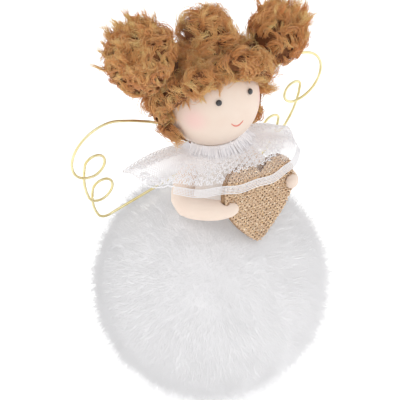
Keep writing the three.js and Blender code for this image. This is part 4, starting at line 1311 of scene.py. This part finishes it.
WIRE_RADIUS = 0.45 * MM
WING_RAKE = 12
WING_HINGE_X = 2.6 * MM
WING_ROOT = (10.75 * MM, 86.6 * MM)
WING_ROOT_LENGTH = 9.4 * MM
WING_LAYER_STEP = 1.5 * MM
WING_RETURN = 26.5 * MM
CURL = [(4.4, 112, True), (3.5, 155, True)]
WING_BENDS = [
    (3, 21, False), (29, 37, False), (98, 12.2, False), (12.2, 138.5, False), (8.7, 61.5, False), *CURL,
    (33.8, 28.5, False), (5.5, 65, False), *CURL, (24, 34.3, False), (4.4, 82.5, False),
]
BEND_STEP = 6
FOLD_RANGE = (-8, 30)
FOLD_STEPS = 20
WIRE_CLEARANCE = 1.1 * MM

wing_rake = math.radians(WING_RAKE)


def wing_path(side):
    """The wire's middle line: its root, its bends one after another, and its way back to the root."""
    climb = WING_LAYER_STEP / sum(angle for _, angle, _ in CURL)
    across, up, layer, heading = WING_HINGE_X, -WING_ROOT_LENGTH / 2, 0.0, math.pi / 2
    flat = [(across, layer, up), (across, layer, 0.0), (across, layer, -up)]
    up = -up
    for radius, angle, climbs in WING_BENDS:
        steps = max(2, math.ceil(angle / BEND_STEP))
        turn = math.radians(angle) / steps
        for _ in range(steps):
            heading -= turn / 2
            across += 2 * radius * MM * math.sin(turn / 2) * math.cos(heading)
            up += 2 * radius * MM * math.sin(turn / 2) * math.sin(heading)
            heading -= turn / 2
            layer += climb * angle / steps if climbs else 0.0
            flat.append((across, layer, up))
    top = layer
    for share in np.linspace(0.1, 1, 10):
        reach = share * WING_RETURN
        flat.append((across + reach * math.cos(heading), top * (1 - share), up + reach * math.sin(heading)))
    x, y, z = np.array(flat).T
    back = WING_ROOT[0] + y * math.cos(wing_rake) - z * math.sin(wing_rake)
    height = WING_ROOT[1] + y * math.sin(wing_rake) + z * math.cos(wing_rake)
    return np.stack([side * x, back, height], axis=1)


def wire_sweep():
    """Places along both wires, half a wire apart, at steps over their whole folding range."""
    places = []
    for side in (-1, 1):
        path = wing_path(side)
        run = np.append(0, np.cumsum(np.linalg.norm(np.diff(path, axis=0), axis=1)))
        even = np.arange(0, run[-1], WIRE_RADIUS)
        fine = np.stack([np.interp(even, run, path[:, axis]) for axis in range(3)], axis=1)
        hinge = Vector((0, -side * math.sin(wing_rake), side * math.cos(wing_rake)))
        pivot = np.array([side * WING_HINGE_X, *WING_ROOT])
        for fold in np.linspace(*FOLD_RANGE, FOLD_STEPS):
            turn = np.array(Matrix.Rotation(math.radians(fold), 3, hinge))
            places.append((fine - pivot) @ turn.T + pivot)
    return point_finder(np.concatenate(places))


def clear_of_wires(paths):
    """Which fibres no wire touches as it folds, at their points and halfway between them."""
    places = np.concatenate([paths, (paths[:, 1:] + paths[:, :-1]) / 2], axis=1)
    close = places[..., 1] > -BALL_RADIUS / 2
    clear = np.ones(len(paths), bool)
    for strand, step in zip(*np.nonzero(close)):
        if clear[strand]:
            clear[strand] = swept_wires.find(places[strand, step])[2] > WIRE_CLEARANCE
    return clear


def make_wings():
    for side, name in ((-1, "wing_left"), (1, "wing_right")):
        wire = strand_piece(f"{name}_wire", wing_path(side)[None], WIRE_RADIUS, sides=12)
        dress(wire, GOLD, name, replaced=name)
    patch = soft_copy("wing_patch", "wing_patch_felt", 0.3 * MM, 3)
    dress(patch, FELT, replaced="wing_patch")


# Finishes of the solids that stay

def finish_solids():
    for node, material in (("base_disc", FELT), ("ball_core", WADDING), ("neck_dowel", WOOD)):
        nodes[node].data.materials.clear()
        nodes[node].data.materials.append(material)


# Floor, lights and camera

CAMERA_ELEVATION = 36
CAMERA_AZIMUTH = -34.36
CAMERA_DISTANCE = 1.0681
FOCAL_PIXELS = 3135.3
IMAGE_SIDE = 400
BALL_PIXEL = (211, 282)
LIGHT_AIM = Vector((0, 0, 0.07))
WORLD_LIGHT = 0.8
FLOOR_HALF = 6


def make_camera():
    """A camera at the photograph's angle, aimed so that the ball falls on its place in the picture."""
    a, e = math.radians(CAMERA_AZIMUTH), math.radians(CAMERA_ELEVATION)
    right = Vector((math.cos(a), math.sin(a), 0))
    back = Vector((math.sin(a) * math.cos(e), -math.cos(a) * math.cos(e), math.sin(e)))
    up = back.cross(right)
    middle = IMAGE_SIDE / 2
    aim = -back * FOCAL_PIXELS + right * (middle - BALL_PIXEL[0]) + up * (BALL_PIXEL[1] - middle)
    data = bpy.data.cameras.new("camera")
    data.sensor_width = 36
    data.lens = data.sensor_width * FOCAL_PIXELS / IMAGE_SIDE
    data.clip_end = 20
    camera = new_piece("camera", data)
    camera.location = Vector(BALL_CENTRE) + back * CAMERA_DISTANCE
    z = -aim.normalized()
    x = (right - z * z.dot(right)).normalized()
    camera.rotation_euler = Matrix((x, z.cross(x), z)).transposed().to_euler()
    bpy.context.scene.camera = camera


def make_light(name, place, size, power):
    data = bpy.data.lights.new(name, "AREA")
    data.shape = "DISK"
    data.size = size
    data.energy = power
    light = new_piece(name, data)
    light.location = place
    light.rotation_euler = (LIGHT_AIM - Vector(place)).to_track_quat("-Z", "Y").to_euler()


def make_stage():
    def lay(shape):
        bmesh.ops.create_grid(shape, x_segments=1, y_segments=1, size=FLOOR_HALF)
    floor = new_piece("floor", edited(bpy.data.meshes.new("floor"), lay))
    floor.data.materials.append(spotted_material(
        "floor_paint", srgb(250, 250, 250), srgb(252, 252, 252), 0.2, Roughness=0.9, **painted_glow(0.35),
    ))
    world = bpy.data.worlds.new("studio")
    world.use_nodes = True
    sky = world.node_tree.nodes["Background"].inputs
    sky["Color"].default_value = (1, 1, 1, 1)
    sky["Strength"].default_value = WORLD_LIGHT
    bpy.context.scene.world = world
    make_light("key", (-0.5, -0.7, 0.9), size=0.6, power=1.1)
    make_light("right_fill", (0.85, -0.4, 0.5), size=0.8, power=1.3)
    make_light("left_fill", (-0.85, 0.55, 0.5), size=0.8, power=1.6)
    bpy.context.scene.view_settings.view_transform = "Standard"


swept_wires = wire_sweep()
make_camera()
make_stage()
make_fur()
make_body()
make_face()
make_hair()
make_loose_tufts()
make_hairline()
make_ties()
make_heart()
make_collar()
make_wings()
finish_solids()
